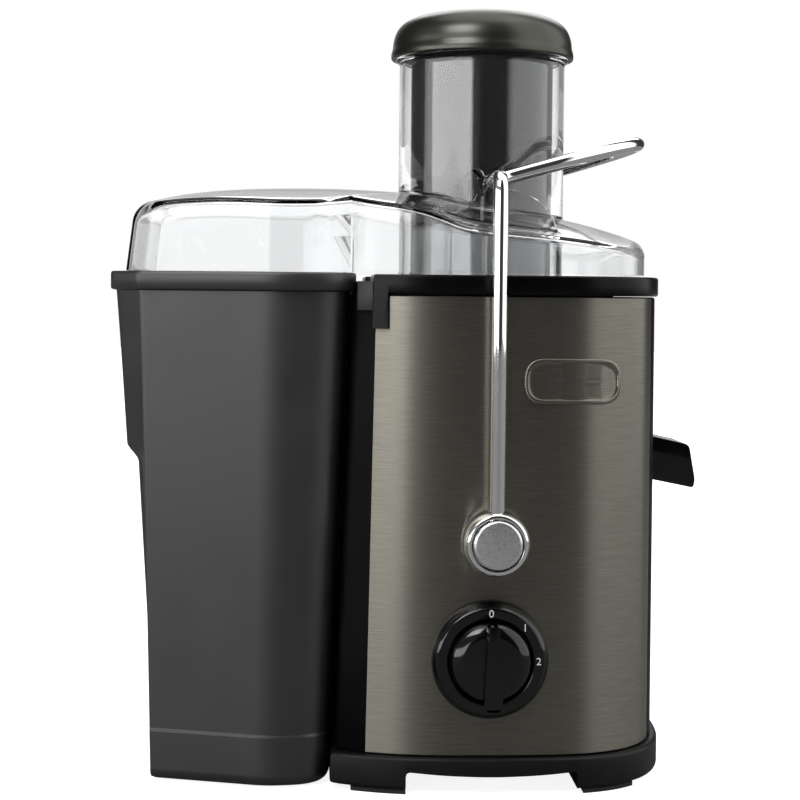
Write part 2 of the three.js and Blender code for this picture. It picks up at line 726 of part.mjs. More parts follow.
// ---------- assembly ----------
const pieces = [
  mesh('base_frame', baseFrame(), looks.blackPlastic),
  ...footPlaces.map((place, i) => mesh(`rubber_foot_${i + 1}`, rubberFoot(place), looks.rubber)),
  ...screwPlaces.map((place, i) => mesh(`base_screw_${i + 1}`, baseScrew(place), looks.steel)),
  mesh('motor_housing', motorHousing(), looks.blackPlastic),
  mesh('front_panel', frontPanel(), looks.brushedSteel),
  mesh('badge_plate', badgePlate(), looks.brushedSteel),
  mesh('top_collar', topCollar(), looks.glossBlack),
  mesh('pulp_apron', pulpApron(), looks.greyPlastic),
  mesh('juice_bowl', juiceBowl(), looks.greyPlastic),
  mesh('bowl_seal', bowlSeal(), looks.rubber),
  mesh('juice_spout', juiceSpout(), looks.glossBlack),
  mesh('spout_escutcheon', spoutEscutcheon(), looks.glossBlack),
  mesh('clear_lid', clearLid(), looks.clear),
  mesh('feed_chute', feedChute(), looks.clear),
  mesh('knob_bezel', knobBezel(), looks.glossBlack),
  mesh('rotary_switch', rotarySwitch(), looks.greyPlastic),
  mesh('interlock_switch', box(-10, 10, 74, 83, 124, 136), looks.greyPlastic),
  mesh('inlet_gland', inletGland(), looks.rubber),
  mesh('pivot_pin_front', pivotPin(-1), looks.steel),
  mesh('pivot_pin_rear', pivotPin(1), looks.steel),
  mesh('motor_stator', motorStator(), looks.laminations),
  mesh('field_coil_front', fieldCoil(-1), looks.copper),
  mesh('field_coil_rear', fieldCoil(1), looks.copper),
  mesh('upper_motor_bracket', motorBracket(104, 108, 11.3, 96, 40), looks.steel),
  mesh('lower_motor_bracket', motorBracket(26, 30, 8.3, 76, 36), looks.steel),
  mesh('upper_bearing', ring(11, 4.3, 104, 111), looks.steel),
  mesh('lower_bearing', ring(8, 4.3, 26, 31), looks.steel),
  mesh('motor_bolt_left', motorBolt(boltPlaces[0]), looks.steel),
  mesh('motor_bolt_right', motorBolt(boltPlaces[1]), looks.steel),
  mesh('brush_holder_left', brushHolder(-1), looks.blackPlastic),
  mesh('brush_holder_right', brushHolder(1), looks.blackPlastic),
  ...bushPlaces.map((place, i) => mesh(`motor_bush_${i + 1}`, motorBush(place), looks.rubber)),
  mesh('motor_shaft', cylinder(4, 24, 146, 0, 0, 20), looks.steel),
  mesh('armature_core', armatureCore(), looks.laminations),
  mesh('commutator', ring(12, 4.3, 34, 43, 0, 0, 24), looks.copper),
  mesh('armature_winding', ring(16, 4.3, 43.3, 50.7, 0, 0, 24), looks.copper),
  mesh('cooling_fan', coolingFan(), looks.blackPlastic),
  mesh('drive_coupling', driveCoupling(), looks.greyPlastic),
  mesh('filter_basket', filterBasket(), looks.steel),
  mesh('grater_disc', graterDisc(), looks.steel),
  mesh('basket_rim', basketRim(), looks.greyPlastic),
  mesh('bail_rod', bailRod(), looks.chrome),
  mesh('bail_hub_front', bailHub(-1), looks.chrome),
  mesh('bail_hub_rear', bailHub(1), looks.chrome),
  mesh('hub_cap_front', hubCap(-1), looks.satin),
  mesh('hub_cap_rear', hubCap(1), looks.satin),
  mesh('control_knob', controlKnob(), looks.glossBlack),
  mesh('knob_shaft', knobShaft(), looks.steel),
  mesh('pusher_body', pusherBody(), looks.pusherGrey),
  mesh('pusher_cap', pusherCap(), looks.bronzeCap),
  mesh('pulp_bin', pulpBin(), looks.binPlastic),
];

const layout = new THREE.Group();
layout.add(...pieces);
const middle = new THREE.Box3().setFromObject(layout).getCenter(new THREE.Vector3());
layout.position.set(-middle.x, -middle.y, 0);

const juicer = new THREE.Group();
juicer.name = 'juicer';
juicer.add(layout);
juicer.updateMatrixWorld(true);

export default juicer;
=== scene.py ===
import json
import math

import bmesh
import bpy
from mathutils import Matrix, Vector


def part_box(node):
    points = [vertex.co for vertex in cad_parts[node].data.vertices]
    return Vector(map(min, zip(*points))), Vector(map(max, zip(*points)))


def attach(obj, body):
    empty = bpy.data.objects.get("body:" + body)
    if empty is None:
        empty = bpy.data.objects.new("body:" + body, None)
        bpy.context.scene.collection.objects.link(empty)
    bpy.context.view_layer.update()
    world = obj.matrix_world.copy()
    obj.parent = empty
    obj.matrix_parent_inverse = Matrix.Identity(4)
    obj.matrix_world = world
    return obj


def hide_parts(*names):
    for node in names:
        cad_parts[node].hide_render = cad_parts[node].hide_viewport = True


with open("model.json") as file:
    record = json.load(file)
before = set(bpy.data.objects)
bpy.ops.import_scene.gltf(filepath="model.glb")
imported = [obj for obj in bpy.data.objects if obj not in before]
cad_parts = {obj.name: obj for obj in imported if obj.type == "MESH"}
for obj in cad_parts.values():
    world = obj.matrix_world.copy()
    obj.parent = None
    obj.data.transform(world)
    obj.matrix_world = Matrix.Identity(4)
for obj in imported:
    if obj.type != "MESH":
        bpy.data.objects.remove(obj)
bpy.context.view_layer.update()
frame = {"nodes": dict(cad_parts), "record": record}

MM = 0.001
shaft_low, shaft_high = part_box("motor_shaft")
AXIS = Vector(((shaft_low.x + shaft_high.x) / 2, (shaft_low.y + shaft_high.y) / 2, 0))


def span(node):
    """Lowest and highest corner of a CAD node, in millimetres about the motor axis."""
    low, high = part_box(node)
    return (low - AXIS) / MM, (high - AXIS) / MM


# ---------- sizes that the pieces share ----------
BODY_HALF_WIDTH = 80.8
BODY_HALF_DEPTH = 92
BODY_LEFT = -62
BODY_EXPONENT = 3.4
BODY_FLARE = 0.018
RIGHT_FLARE = 0.006
LEFT_LEAN = 7.4
LEAN_EXPONENT = 5
BODY_BOTTOM = span("motor_housing")[0].z
BODY_TOP = span("motor_housing")[1].z
PANEL_LEFT = -52.5
PANEL_BACK = -62.3
COLLAR_LEFT = span("top_collar")[0].x
DECK = 119.5
FACE = BODY_HALF_DEPTH + 1

PIVOT_Z = 112.4
KNOB_X = -1.5
KNOB_Z = 60
NUMBER_LAND = 6.2
GLAND_X = 36
GLAND_Z = 34

CHUTE_X = 1
CHUTE_RADIUS = 40
CHUTE_INNER = 37.5
CHUTE_BOTTOM = span("feed_chute")[0].z
CHUTE_TOP = span("feed_chute")[1].z
LID_BOTTOM = span("clear_lid")[0].z
LID_WALL = 2.5

BIN_LEFT = span("pulp_bin")[0].x + 2.5
BIN_EDGE = -156.6
BIN_RIGHT = span("pulp_bin")[1].x - 2.5
BIN_TOP = 221.4
RIM_TOP = span("pulp_bin")[1].z

ROD_RADIUS = 3.3
BAIL_PLANE = 104
BAIL_TOP = 271.5
BAIL_REACH = 76
BAIL_LOOP_HALF_DEPTH = 62
BAIL_LOOP_POWER = 0.8
BAIL_TILT = math.radians(16)


# ---------- mesh helpers ----------
def new_object(name, points, faces):
    """An object from points in millimetres about the motor axis; its normals point outwards."""
    mesh = bpy.data.meshes.new(name)
    mesh.from_pydata([AXIS + Vector(p) * MM for p in points], [], faces)
    work = bmesh.new()
    work.from_mesh(mesh)
    bmesh.ops.remove_doubles(work, verts=work.verts, dist=2e-6)
    bmesh.ops.dissolve_degenerate(work, edges=work.edges, dist=1e-7)
    bmesh.ops.recalc_face_normals(work, faces=work.faces)
    work.to_mesh(mesh)
    work.free()
    obj = bpy.data.objects.new(name, mesh)
    bpy.context.scene.collection.objects.link(obj)
    return obj


def loft(name, rings, closed=False):
    """Skin over rings of equal length; the ends are capped unless the last ring meets the first."""
    count = len(rings[0])
    points = [p for ring in rings for p in ring]
    faces = []
    for i in range(len(rings) if closed else len(rings) - 1):
        a, b = i * count, (i + 1) % len(rings) * count
        for j in range(count):
            k = (j + 1) % count
            faces.append((a + j, a + k, b + k, b + j))
    if not closed:
        faces.append(tuple(range(count)))
        faces.append(tuple(range(len(points) - count, len(points))))
    return new_object(name, points, faces)


def lathe(name, profile, place, sides=128):
    """Turns a closed profile of (radius, height) pairs; place(u, v, h) says where a point goes."""
    rings = []
    for r, h in profile:
        angles = [2 * math.pi * i / sides for i in range(sides)]
        rings.append([place(max(r, 1e-4) * math.cos(a), max(r, 1e-4) * math.sin(a), h) for a in angles])
    return loft(name, rings, closed=True)


def upright(x=0, y=0):
    """Height is measured upwards from the ground."""
    return lambda u, v, h: (x + u, y + v, h)


def facing(side, x, z):
    """Height is measured outwards from the front (side -1) or the rear (side 1) of the body."""
    return lambda u, v, h: (x + u, side * (FACE + h), z + v)


def rounded(corners, steps=6, closed=True):
    """Path through (u, v, radius) corners, each rounded by a curve that starts a radius away."""
    path = []
    for i, (u, v, radius) in enumerate(corners):
        here = Vector((u, v))
        if radius == 0 or (not closed and i in (0, len(corners) - 1)):
            path.append((u, v))
            continue
        before = Vector(corners[i - 1][:2]) - here
        after = Vector(corners[(i + 1) % len(corners)][:2]) - here
        start = here + before.normalized() * radius
        end = here + after.normalized() * radius
        for k in range(steps + 1):
            t = k / steps
            point = start * (1 - t) ** 2 + here * 2 * t * (1 - t) + end * t ** 2
            path.append((point.x, point.y))
    return path


def prism(name, outline, low, high, place):
    """Straight block with an outline of (u, v) points, between two heights along place's last axis."""
    return loft(name, [[place(u, v, low) for u, v in outline], [place(u, v, high) for u, v in outline]])


def along_z(u, v, h):
    return (u, v, h)


def along_y(u, v, h):
    return (u, h, v)


def along_x(u, v, h):
    return (h, u, v)


def block(name, low, high):
    """Box for cutting, from its lowest to its highest corner."""
    (x0, y0, z0), (x1, y1, z1) = low, high
    return prism(name, [(x0, y0), (x1, y0), (x1, y1), (x0, y1)], z0, z1, along_z)


def bake(obj):
    """Replaces the mesh by what its modifiers make of it."""
    evaluated = obj.evaluated_get(bpy.context.evaluated_depsgraph_get())
    mesh = bpy.data.meshes.new_from_object(evaluated)
    obj.modifiers.clear()
    obj.data = mesh


def combine(obj, others, operation):
    """Boolean of an object with others, which are used up."""
    for other in others:
        modifier = obj.modifiers.new("combine", "BOOLEAN")
        modifier.operation = operation
        modifier.solver = "EXACT"
        modifier.object = other
    bake(obj)
    for other in others:
        bpy.data.objects.remove(other)


def soften(obj, width, segments=3, angle=35):
    """Rounds the sharp edges by a width in millimetres."""
    modifier = obj.modifiers.new("soften", "BEVEL")
    modifier.width = width * MM
    modifier.segments = segments
    modifier.limit_method = "ANGLE"
    modifier.angle_limit = math.radians(angle)
    modifier.use_clamp_overlap = True
    bake(obj)


def finish_piece(obj, body, slot, *nodes, smooth=35, look=None):
    """Gives a piece its body and its material; nodes are the CAD nodes it stands for."""
    obj.data.materials.clear()
    obj.data.materials.append(MATERIALS[look or slot])
    obj.data.shade_smooth()
    obj.data.set_sharp_from_angle(angle=math.radians(smooth))
    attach(obj, body)
    if nodes:
        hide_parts(*nodes)


# ---------- materials ----------
def add_node(tree, kind, **values):
    """New node of a tree; the values go to inputs named with underscores for spaces."""
    node = tree.nodes.new("ShaderNode" + kind)
    for name, value in values.items():
        node.inputs[name.replace("_", " ")].default_value = value
    return node


def principled(name, colour, roughness, metallic=0.0, **sockets):
    """New material; further sockets are named with underscores for spaces."""
    material = bpy.data.materials.new(name)
    material.use_nodes = True
    shader = material.node_tree.nodes["Principled BSDF"]
    shader.inputs["Base Color"].default_value = (*colour, 1)
    shader.inputs["Roughness"].default_value = roughness
    shader.inputs["Metallic"].default_value = metallic
    for socket, value in sockets.items():
        shader.inputs[socket.replace("_", " ")].default_value = value
    return material


def pattern(material, scale, stretch=(1, 1, 1), detail=3.0):
    """Noise that is fixed to the piece; scale is features per metre, stretched along each axis."""
    tree = material.node_tree
    coordinates = add_node(tree, "TexCoord")
    mapping = add_node(tree, "Mapping", Scale=[scale * s for s in stretch])
    noise = add_node(tree, "TexNoise", Scale=1.0, Detail=detail)
    tree.links.new(coordinates.outputs["Object"], mapping.inputs["Vector"])
    tree.links.new(mapping.outputs["Vector"], noise.inputs["Vector"])
    return noise.outputs["Fac"]


def between(material, value, low, high, source=(0.3, 0.7)):
    """A value between low and high, as the given one goes through its source range."""
    ranged = add_node(material.node_tree, "MapRange", From_Min=source[0], From_Max=source[1], To_Min=low,
                      To_Max=high)
    material.node_tree.links.new(value, ranged.inputs["Value"])
    return ranged.outputs["Result"]


def vary_colour(material, value, dark, light, source=(0.3, 0.7)):
    """Colour that goes from dark to light with a value."""
    tree = material.node_tree
    ramp = add_node(tree, "ValToRGB")
    for element, position, colour in zip(ramp.color_ramp.elements, source, (dark, light)):
        element.position = position
        element.color = (*colour, 1)
    tree.links.new(value, ramp.inputs["Fac"])
    tree.links.new(ramp.outputs["Color"], tree.nodes["Principled BSDF"].inputs["Base Color"])


def vary_roughness(material, value, low, high):
    tree = material.node_tree
    rough = between(material, value, low, high)
    tree.links.new(rough, tree.nodes["Principled BSDF"].inputs["Roughness"])


def bump(material, value, height):
    """Height is the depth of the relief in millimetres."""
    tree = material.node_tree
    node = add_node(tree, "Bump", Strength=1.0, Distance=height * MM)
    tree.links.new(value, node.inputs["Height"])
    tree.links.new(node.outputs["Normal"], tree.nodes["Principled BSDF"].inputs["Normal"])


def moulded(name, dark, light, rough, grain=900, relief=0.006, **sockets):
    """Moulded plastic or rubber: fine grain, slow patches of gloss and a little colour variation."""
    material = principled(name, dark, rough[0], **sockets)
    fine = pattern(material, grain)
    slow = pattern(material, 45, detail=2)
    vary_colour(material, slow, dark, light)
    vary_roughness(material, slow, *rough)
    bump(material, fine, relief)
    return material


def metal(name, dark, light, rough, scale=700, stretch=(1, 1, 1), relief=0.004):
    """Bare or plated metal with fine marks, dull where they lie."""
    material = principled(name, dark, rough[0], metallic=1.0)
    marks = pattern(material, scale, stretch)
    vary_colour(material, marks, dark, light)
    vary_roughness(material, marks, *rough)
    bump(material, marks, relief)
    return material


def brushed_panel():
    """Horizontal brush lines: the finest ones are a fraction of a millimetre apart."""
    material = principled("brushed_panel", (0.192, 0.183, 0.155), 0.32, metallic=1.0,
                          Anisotropic=0.85, Anisotropic_Rotation=0.25)
    tree = material.node_tree
    long_lines = pattern(material, 1, (25, 25, 3200), 2)
    short_lines = pattern(material, 1, (90, 90, 2200), 3)
    vary_colour(material, short_lines, (0.168, 0.16, 0.135), (0.216, 0.206, 0.175))
    vary_roughness(material, long_lines, 0.3, 0.36)
    bump(material, long_lines, 0.0012)
    tangent = add_node(tree, "Tangent")
    tangent.direction_type = "RADIAL"
    tangent.axis = "Z"
    tree.links.new(tangent.outputs["Tangent"], tree.nodes["Principled BSDF"].inputs["Tangent"])
    return material


def clear_plastic():
    """Clear moulding with a hint of haze and of unevenness."""
    material = principled("clear_plastic", (0.9, 0.905, 0.91), 0.0, Transmission_Weight=1.0, IOR=1.33)
    haze = pattern(material, 25, detail=1)
    vary_roughness(material, haze, 0.0, 0.004)
    bump(material, haze, 0.001)
    return material


def smoked_pusher():
    """Dark glossy plastic whose lower half is moulded in a light grey."""
    change_low, change_high = 0.25, 0.254
    colour_a, colour_b, colour_result = 6, 7, 2
    material = moulded("smoked_pusher", (0.009, 0.0095, 0.009), (0.013, 0.0135, 0.013), (0.03, 0.05),
                       120, 0.0002, Specular_IOR_Level=1.0)
    tree = material.node_tree
    shader = tree.nodes["Principled BSDF"]
    dark = shader.inputs["Base Color"].links[0].from_socket
    coordinates = add_node(tree, "TexCoord")
    split = add_node(tree, "SeparateXYZ")
    tree.links.new(coordinates.outputs["Object"], split.inputs["Vector"])
    share = between(material, split.outputs["Z"], 1, 0, (change_low, change_high))
    blend = add_node(tree, "Mix")
    blend.data_type = "RGBA"
    tree.links.new(share, blend.inputs["Factor"])
    tree.links.new(dark, blend.inputs[colour_a])
    blend.inputs[colour_b].default_value = (0.5, 0.5, 0.5, 1)
    tree.links.new(blend.outputs[colour_result], shader.inputs["Base Color"])
    return material


def laminated():
    """Edges of stacked steel sheets."""
    material = principled("laminations", (0.2, 0.2, 0.21), 0.45, metallic=1.0)
    sheets = pattern(material, 1, (4, 4, 1900), 1)
    vary_colour(material, sheets, (0.06, 0.06, 0.065), (0.3, 0.3, 0.31))
    bump(material, sheets, 0.05)
    return material


def wound_copper():
    """Lacquered winding wire, turn beside turn."""
    material = principled("copper_wire", (0.5, 0.2, 0.08), 0.35, metallic=1.0)
    wires = pattern(material, 1, (60, 1400, 1400), 1)
    vary_colour(material, wires, (0.25, 0.08, 0.03), (0.65, 0.28, 0.12))
    bump(material, wires, 0.08)
    return material


# Blender adds a number to a name that the frame uses already
MATERIALS = {material.name.split(".")[0]: material for material in (
    moulded("black_plastic", (0.003, 0.003, 0.0034), (0.005, 0.005, 0.0056), (0.4, 0.5),
            Specular_IOR_Level=0.2),
    # a darker, less glossy copy of black_plastic for the housing: painted shade
    moulded("housing_painted_shade_black", (0.0012, 0.0012, 0.0014), (0.002, 0.002, 0.0023), (0.4, 0.5),
            Specular_IOR_Level=0.06),
    moulded("gloss_black", (0.001, 0.001, 0.0012), (0.0018, 0.0018, 0.002), (0.07, 0.11), 300, 0.0006,
            Specular_IOR_Level=0.45),
    moulded("collar_black", (0.001, 0.001, 0.0012), (0.0018, 0.0018, 0.002), (0.22, 0.28), 300, 0.0006,
            Specular_IOR_Level=0.12),
    moulded("bin_plastic", (0.006, 0.006, 0.0062), (0.009, 0.009, 0.0092), (0.38, 0.44), 1100, 0.003,
            Specular_IOR_Level=0.8),
    moulded("grey_plastic", (0.014, 0.0145, 0.0155), (0.019, 0.0195, 0.021), (0.35, 0.45),
            Specular_IOR_Level=0.3),
    moulded("rubber", (0.008, 0.008, 0.008), (0.014, 0.014, 0.014), (0.75, 0.9), 1500, 0.03),
    moulded("dial_print", (0.62, 0.62, 0.62), (0.7, 0.7, 0.7), (0.4, 0.5), 1500, 0.002),
    moulded("bronze_cap", (0.052, 0.052, 0.045), (0.068, 0.068, 0.059), (0.27, 0.34), 1600, 0.0008,
            Metallic=0.9),
    metal("chrome", (0.82, 0.82, 0.82), (0.88, 0.88, 0.88), (0.03, 0.06), 90, relief=0.0005),
    metal("satin_metal", (0.62, 0.62, 0.62), (0.74, 0.74, 0.74), (0.25, 0.36), 1500, relief=0.001),
    metal("steel", (0.42, 0.42, 0.43), (0.6, 0.6, 0.6), (0.22, 0.38), 800),
    brushed_panel(), laminated(), clear_plastic(), smoked_pusher())}
MATERIALS["copper"] = wound_copper()


# ---------- outlines ----------
def superellipse_point(angle, half_width, half_depth, left):
    """Point of a rounded rectangle whose left side is cut off straight."""
    power = 2 / BODY_EXPONENT
    x = half_width * math.copysign(abs(math.cos(angle)) ** power, math.cos(angle))
    y = half_depth * math.copysign(abs(math.sin(angle)) ** power, math.sin(angle))
    return max(x, left), y


def even_steps(values, points, count, extra=0):
    """As many of the values as count says, chosen so that their points step evenly along a path.

    An extra length for each value brings some of them to where the path has few.
    """
    lengths = [0]
    for p, q in zip(points, points[1:]):
        lengths.append(lengths[-1] + math.dist(p, q) + extra)
    chosen = []
    place = 0
    for i in range(count):
        while lengths[place] < lengths[-1] * i / count:
            place += 1
        chosen.append(values[place])
    return chosen


def body_angles(count=240):
    """Angles that step evenly along the outline of the body."""
    dense = [2 * math.pi * (i + 0.5) / 7200 for i in range(7200)]
    points = [superellipse_point(a, BODY_HALF_WIDTH, BODY_HALF_DEPTH, BODY_LEFT) for a in dense]
    return even_steps(dense, points, count)


BODY_ANGLES = body_angles()


def body_drop(z):
    """How far down the wall of the motor base a height is: 0 at its top, 1 at its foot."""
    return (BODY_TOP - z) / (BODY_TOP - BODY_BOTTOM)


def body_point(angle, outset, z, left=BODY_LEFT):
    """Point on the wall of the motor base, which flares towards the foot."""
    x, y = superellipse_point(angle, BODY_HALF_WIDTH + outset, BODY_HALF_DEPTH + outset, left - outset)
    drop = body_drop(z)
    if x > 0:
        x *= 1 + RIGHT_FLARE * drop
    else:
        x -= LEFT_LEAN * drop * (x / BODY_LEFT) ** LEAN_EXPONENT
    return (x, y * (1 + BODY_FLARE * drop), z)


def front_reach(x, outset, z):
    """How far the front or rear wall stands from the middle at x."""
    drop = body_drop(z)
    if x > 0:
        straight = x / (1 + RIGHT_FLARE * drop)
    else:
        straight = x + LEFT_LEAN * drop * (x / BODY_LEFT) ** LEAN_EXPONENT
    share = (abs(straight) / (BODY_HALF_WIDTH + outset)) ** BODY_EXPONENT
    return (BODY_HALF_DEPTH + outset) * (1 - share) ** (1 / BODY_EXPONENT) * (1 + BODY_FLARE * drop)


def body_ring(outset, z, left=BODY_LEFT):
    return [body_point(a, outset, z, left) for a in BODY_ANGLES]


def edge_levels(outset, low, high, radius, steps=5):
    """(outset, z) pairs up a wall whose bottom and top edges are rounded."""
    bends = [math.pi / 2 * k / steps for k in range(steps + 1)]
    bottom = [(outset - radius * (1 - math.sin(b)), low + radius * (1 - math.cos(b))) for b in bends]
    top = [(outset - radius * (1 - math.cos(b)), high - radius * (1 - math.sin(b))) for b in bends]
    return bottom + top


def body_block(name, outset, low, high, left=BODY_LEFT, radius=0.0):
    levels = edge_levels(outset, low, high, radius) if radius else [(outset, low), (outset, high)]
    return loft(name, [body_ring(o, z, left) for o, z in levels])


# ---------- motor base ----------
def panel_sector(margin=0.0):
    """Finely spaced angles of the wall where the metal panel lies, with a margin at both ends."""
    kept = []
    for i in range(20001):
        angle = math.pi * (1 + i / 20000)
        x, y, _ = body_point(angle, 0, BODY_TOP)
        if x > PANEL_LEFT - margin and y < PANEL_BACK + margin:
            kept.append(angle)
    return kept


def housing_block():
    """Outer wall of the housing, set back where the metal panel lies on it."""
    recess = 1.3
    sector = panel_sector(0.2)
    start, end = sector[0], sector[-1]

    def ring(z, inward=0.0):
        points = []
        for angle in sorted(BODY_ANGLES + [start, end]):
            depths = [recess if start < angle < end else 0]
            if angle == start:
                depths = [0, recess]
            if angle == end:
                depths = [recess, 0]
            points += [body_point(angle, -depth - inward, z) for depth in depths]
        return points

    levels = [(1.0, BODY_BOTTOM), (0.3, BODY_BOTTOM + 0.3), (0, BODY_BOTTOM + 1), (0, 60), (0, 110),
              (0, 165), (0, BODY_TOP - 1), (0.3, BODY_TOP - 0.3), (1.0, BODY_TOP)]
    return loft("motor_housing_shell", [ring(z, inward) for inward, z in levels])


def motor_housing():
    """Shell with a deck over the motor, vents at the rear and holes for spout, pivots, knob and gland."""
    housing = housing_block()
    wall, deck_top = 2.8, DECK + 3
    cutters = [body_block("cut", -wall, BODY_BOTTOM - 1, DECK),
               body_block("cut", -wall, deck_top, BODY_TOP + 1),
               block("cut", (68, -16.3, 130), (95, 16.3, 155.2))]
    for low in range(32, 72, 8):
        high = low + 3.5
        slot = rounded([(-36, low, 1.7), (14, low, 1.7), (14, high, 1.7), (-36, high, 1.7)], 4)
        cutters.append(prism("cut", slot, 80, 110, along_y))
    holes = [(-1, 0, PIVOT_Z, 4.6), (1, 0, PIVOT_Z, 4.6), (-1, KNOB_X, KNOB_Z, 6),
             (1, GLAND_X, GLAND_Z, 8)]
    for side, x, z, radius in holes:
        hole = [(0, -23), (radius, -23), (radius, 30), (0, 30)]
        cutters.append(lathe("cut", hole, facing(side, x, z), 32))
    shaft_hole = [(0, DECK - 1), (22, DECK - 1), (22, deck_top + 1), (0, deck_top + 1)]
    cutters.append(lathe("cut", shaft_hole, upright(), 48))
    combine(housing, cutters, "DIFFERENCE")
    # the housing takes a darker copy of black_plastic: painted shade
    finish_piece(housing, "base", "black_plastic", "motor_housing", look="housing_painted_shade_black")


def front_panel():
    """Thin metal sheet that wraps the front and the right flank."""
    sector = panel_sector()
    angles = even_steps(sector, [body_point(a, 0, 100) for a in sector], 150) + [sector[-1]]
    low, high = span("front_panel")
    levels = [(-1, low.z), (-0.25, low.z), (0, low.z + 0.25)]
    levels += [(0, low.z + (high.z - low.z) * i / 8) for i in range(1, 8)]
    levels += [(0, high.z - 0.25), (-0.25, high.z), (-1, high.z)]
    panel = loft("front_panel_sheet", [[body_point(a, outset, z) for outset, z in levels] for a in angles])
    finish_piece(panel, "base", "brushed_panel", "front_panel")


def badge_plate():
    """Plain pill-shaped emblem with a raised border, curved with the panel."""
    x0, z0, width, height = 34.5, 182.5, 44, 20

    def pill(inset, outset):
        w, h = width / 2 - inset, height / 2 - inset
        outline = rounded([(u, v, h * 0.9) for u, v in ((-w, -h), (w, -h), (w, h), (-w, h))], 12)
        return [(x0 + u, -front_reach(x0 + u, outset, z0 + v), z0 + v) for u, v in outline]

    levels = [(0, 0.3), (0, 0.8), (0.3, 1.1), (1.5, 1.1), (1.9, 0.8), (2.2, 0.65)]
    rings = [pill(inset, outset) for inset, outset in levels]
    rings += [pill(2.2 + (height / 2 - 3) * k / 5, 0.65) for k in range(1, 6)]
    badge = loft("badge_plate_emblem", rings)
    finish_piece(badge, "base", "brushed_panel", "badge_plate", smooth=50)


def top_collar():
    """Ring round the bowl with a small tab down the housing at each left corner."""
    low, high = span("top_collar")
    collar = body_block("top_collar_ring", 1.5, BODY_TOP + 0.3, high.z, COLLAR_LEFT + 1.5, 1.2)
    bore = lathe("cut", [(0, 200), (68, 200), (68, 240), (0, 240)], upright(), 160)
    combine(collar, [bore], "DIFFERENCE")
    tabs = []
    for y0, y1 in ((-130, -60), (60, 130)):
        tab = body_block("tab", 1.5, low.z, BODY_TOP + 2, COLLAR_LEFT + 1.5)
        combine(tab, [body_block("cut", 0.3, low.z - 1, BODY_TOP + 3, COLLAR_LEFT - 2)], "DIFFERENCE")
        combine(tab, [block("cut", (-70, y0, low.z), (-47.5, y1, BODY_TOP + 2))], "INTERSECT")
        tabs.append(tab)
    combine(collar, tabs, "UNION")
    finish_piece(collar, "base", "gloss_black", "top_collar", look="collar_black")


def pulp_apron():
    """Bridge from the bowl to the bin, with a lip over the housing at the front and the rear."""
    low, high = span("pulp_apron")
    foot = BODY_TOP + 0.3
    apron = block("pulp_apron_bridge", (low.x, -75, foot), (-56.6, 75, high.z))
    combine(apron, [block("cut", (-80, -46, 222.2), (-50, 46, 230))], "DIFFERENCE")
    lips = []
    for side in (-1, 1):
        rings = []
        for x in (low.x, -58.5, -56.3, high.x):
            outer = [(front_reach(x, 1.5, z), z) for z in (low.z, foot, high.z)]
            inner = [(front_reach(x, 0.3, z), z) for z in (foot, low.z)]
            rings.append([(x, side * y, z) for y, z in outer + [(70, high.z), (70, foot)] + inner])
        lips.append(loft("lip", rings))
    combine(apron, lips, "UNION")
    soften(apron, 0.6)
    finish_piece(apron, "base", "grey_plastic", "pulp_apron")


def base_frame():
    """Skirt on four feet: the spaces between them are shallow arches, with grooves under the motor."""
    low, high = span("base_frame")
    base = body_block("base_frame_skirt", 3, low.z, high.z, BODY_LEFT + 2.1, 1.8)
    arch = [(-38, -5, 0), (-38, 10.4, 2.5), (-20, 9, 8), (0, 8.3, 8), (20, 9, 8), (38, 10.4, 2.5),
            (38, -5, 0)]
    flank = [(-50, -5, 0), (-50, 9.5, 3), (50, 9.5, 3), (50, -5, 0)]
    cutters = [body_block("cut", -1, 12.5, 30), prism("cut", rounded(arch), -130, 130, along_y),
               prism("cut", rounded(flank), -130, 130, along_x)]
    for x in range(-36, 37, 12):
        cutters.append(block("cut", (x - 3, -32, 8), (x + 3, 32, 11.6)))
    combine(base, cutters, "DIFFERENCE")
    soften(base, 0.7)
    finish_piece(base, "base", "black_plastic", "base_frame")


def rubber_feet():
    """Pads that follow the outline of the skirt."""
    for i in range(1, 5):
        low, high = span(f"rubber_foot_{i}")
        front, rear = (low.y - 1, high.y) if low.y < 0 else (low.y, high.y + 1)
        foot = body_block(f"rubber_foot_pad_{i}", 1.5, low.z, high.z, radius=0.6)
        combine(foot, [block("cut", (low.x, front, -5), (high.x, rear, 9))], "INTERSECT")
        finish_piece(foot, "base", "rubber", f"rubber_foot_{i}")


# ---------- bowl, spout and basket ----------
def juice_bowl():
    """Round bowl, cut off straight on its left, with a low neck round the shaft."""
    low = span("juice_bowl")[0]
    floor = low.z
    corners = [(12.5, floor, 0), (66, floor, 3), (66, 221.4, 0.6), (67.5, 222, 0.5), (67.5, 226, 0.6),
               (63.5, 226, 0.6), (63.5, floor + 3, 4), (20, floor + 3, 2), (19.4, 148, 1), (12.5, 148, 0.6)]
    bowl = lathe("juice_bowl_shell", rounded(corners, 5), upright(), 160)
    for vertex in bowl.data.vertices:
        x = (vertex.co.x - AXIS.x) / MM
        y = (vertex.co.y - AXIS.y) / MM
        flat = low.x if math.hypot(x, y) > 64.5 else low.x + 2.5
        vertex.co.x = AXIS.x + max(x, flat) * MM
    cuts = [block("cut", (-75, -90, 217.7), (-48, 90, 240)), block("cut", (56, -13, 132), (70, 13, 149))]
    combine(bowl, cuts, "DIFFERENCE")
    finish_piece(bowl, "base", "grey_plastic", "juice_bowl")


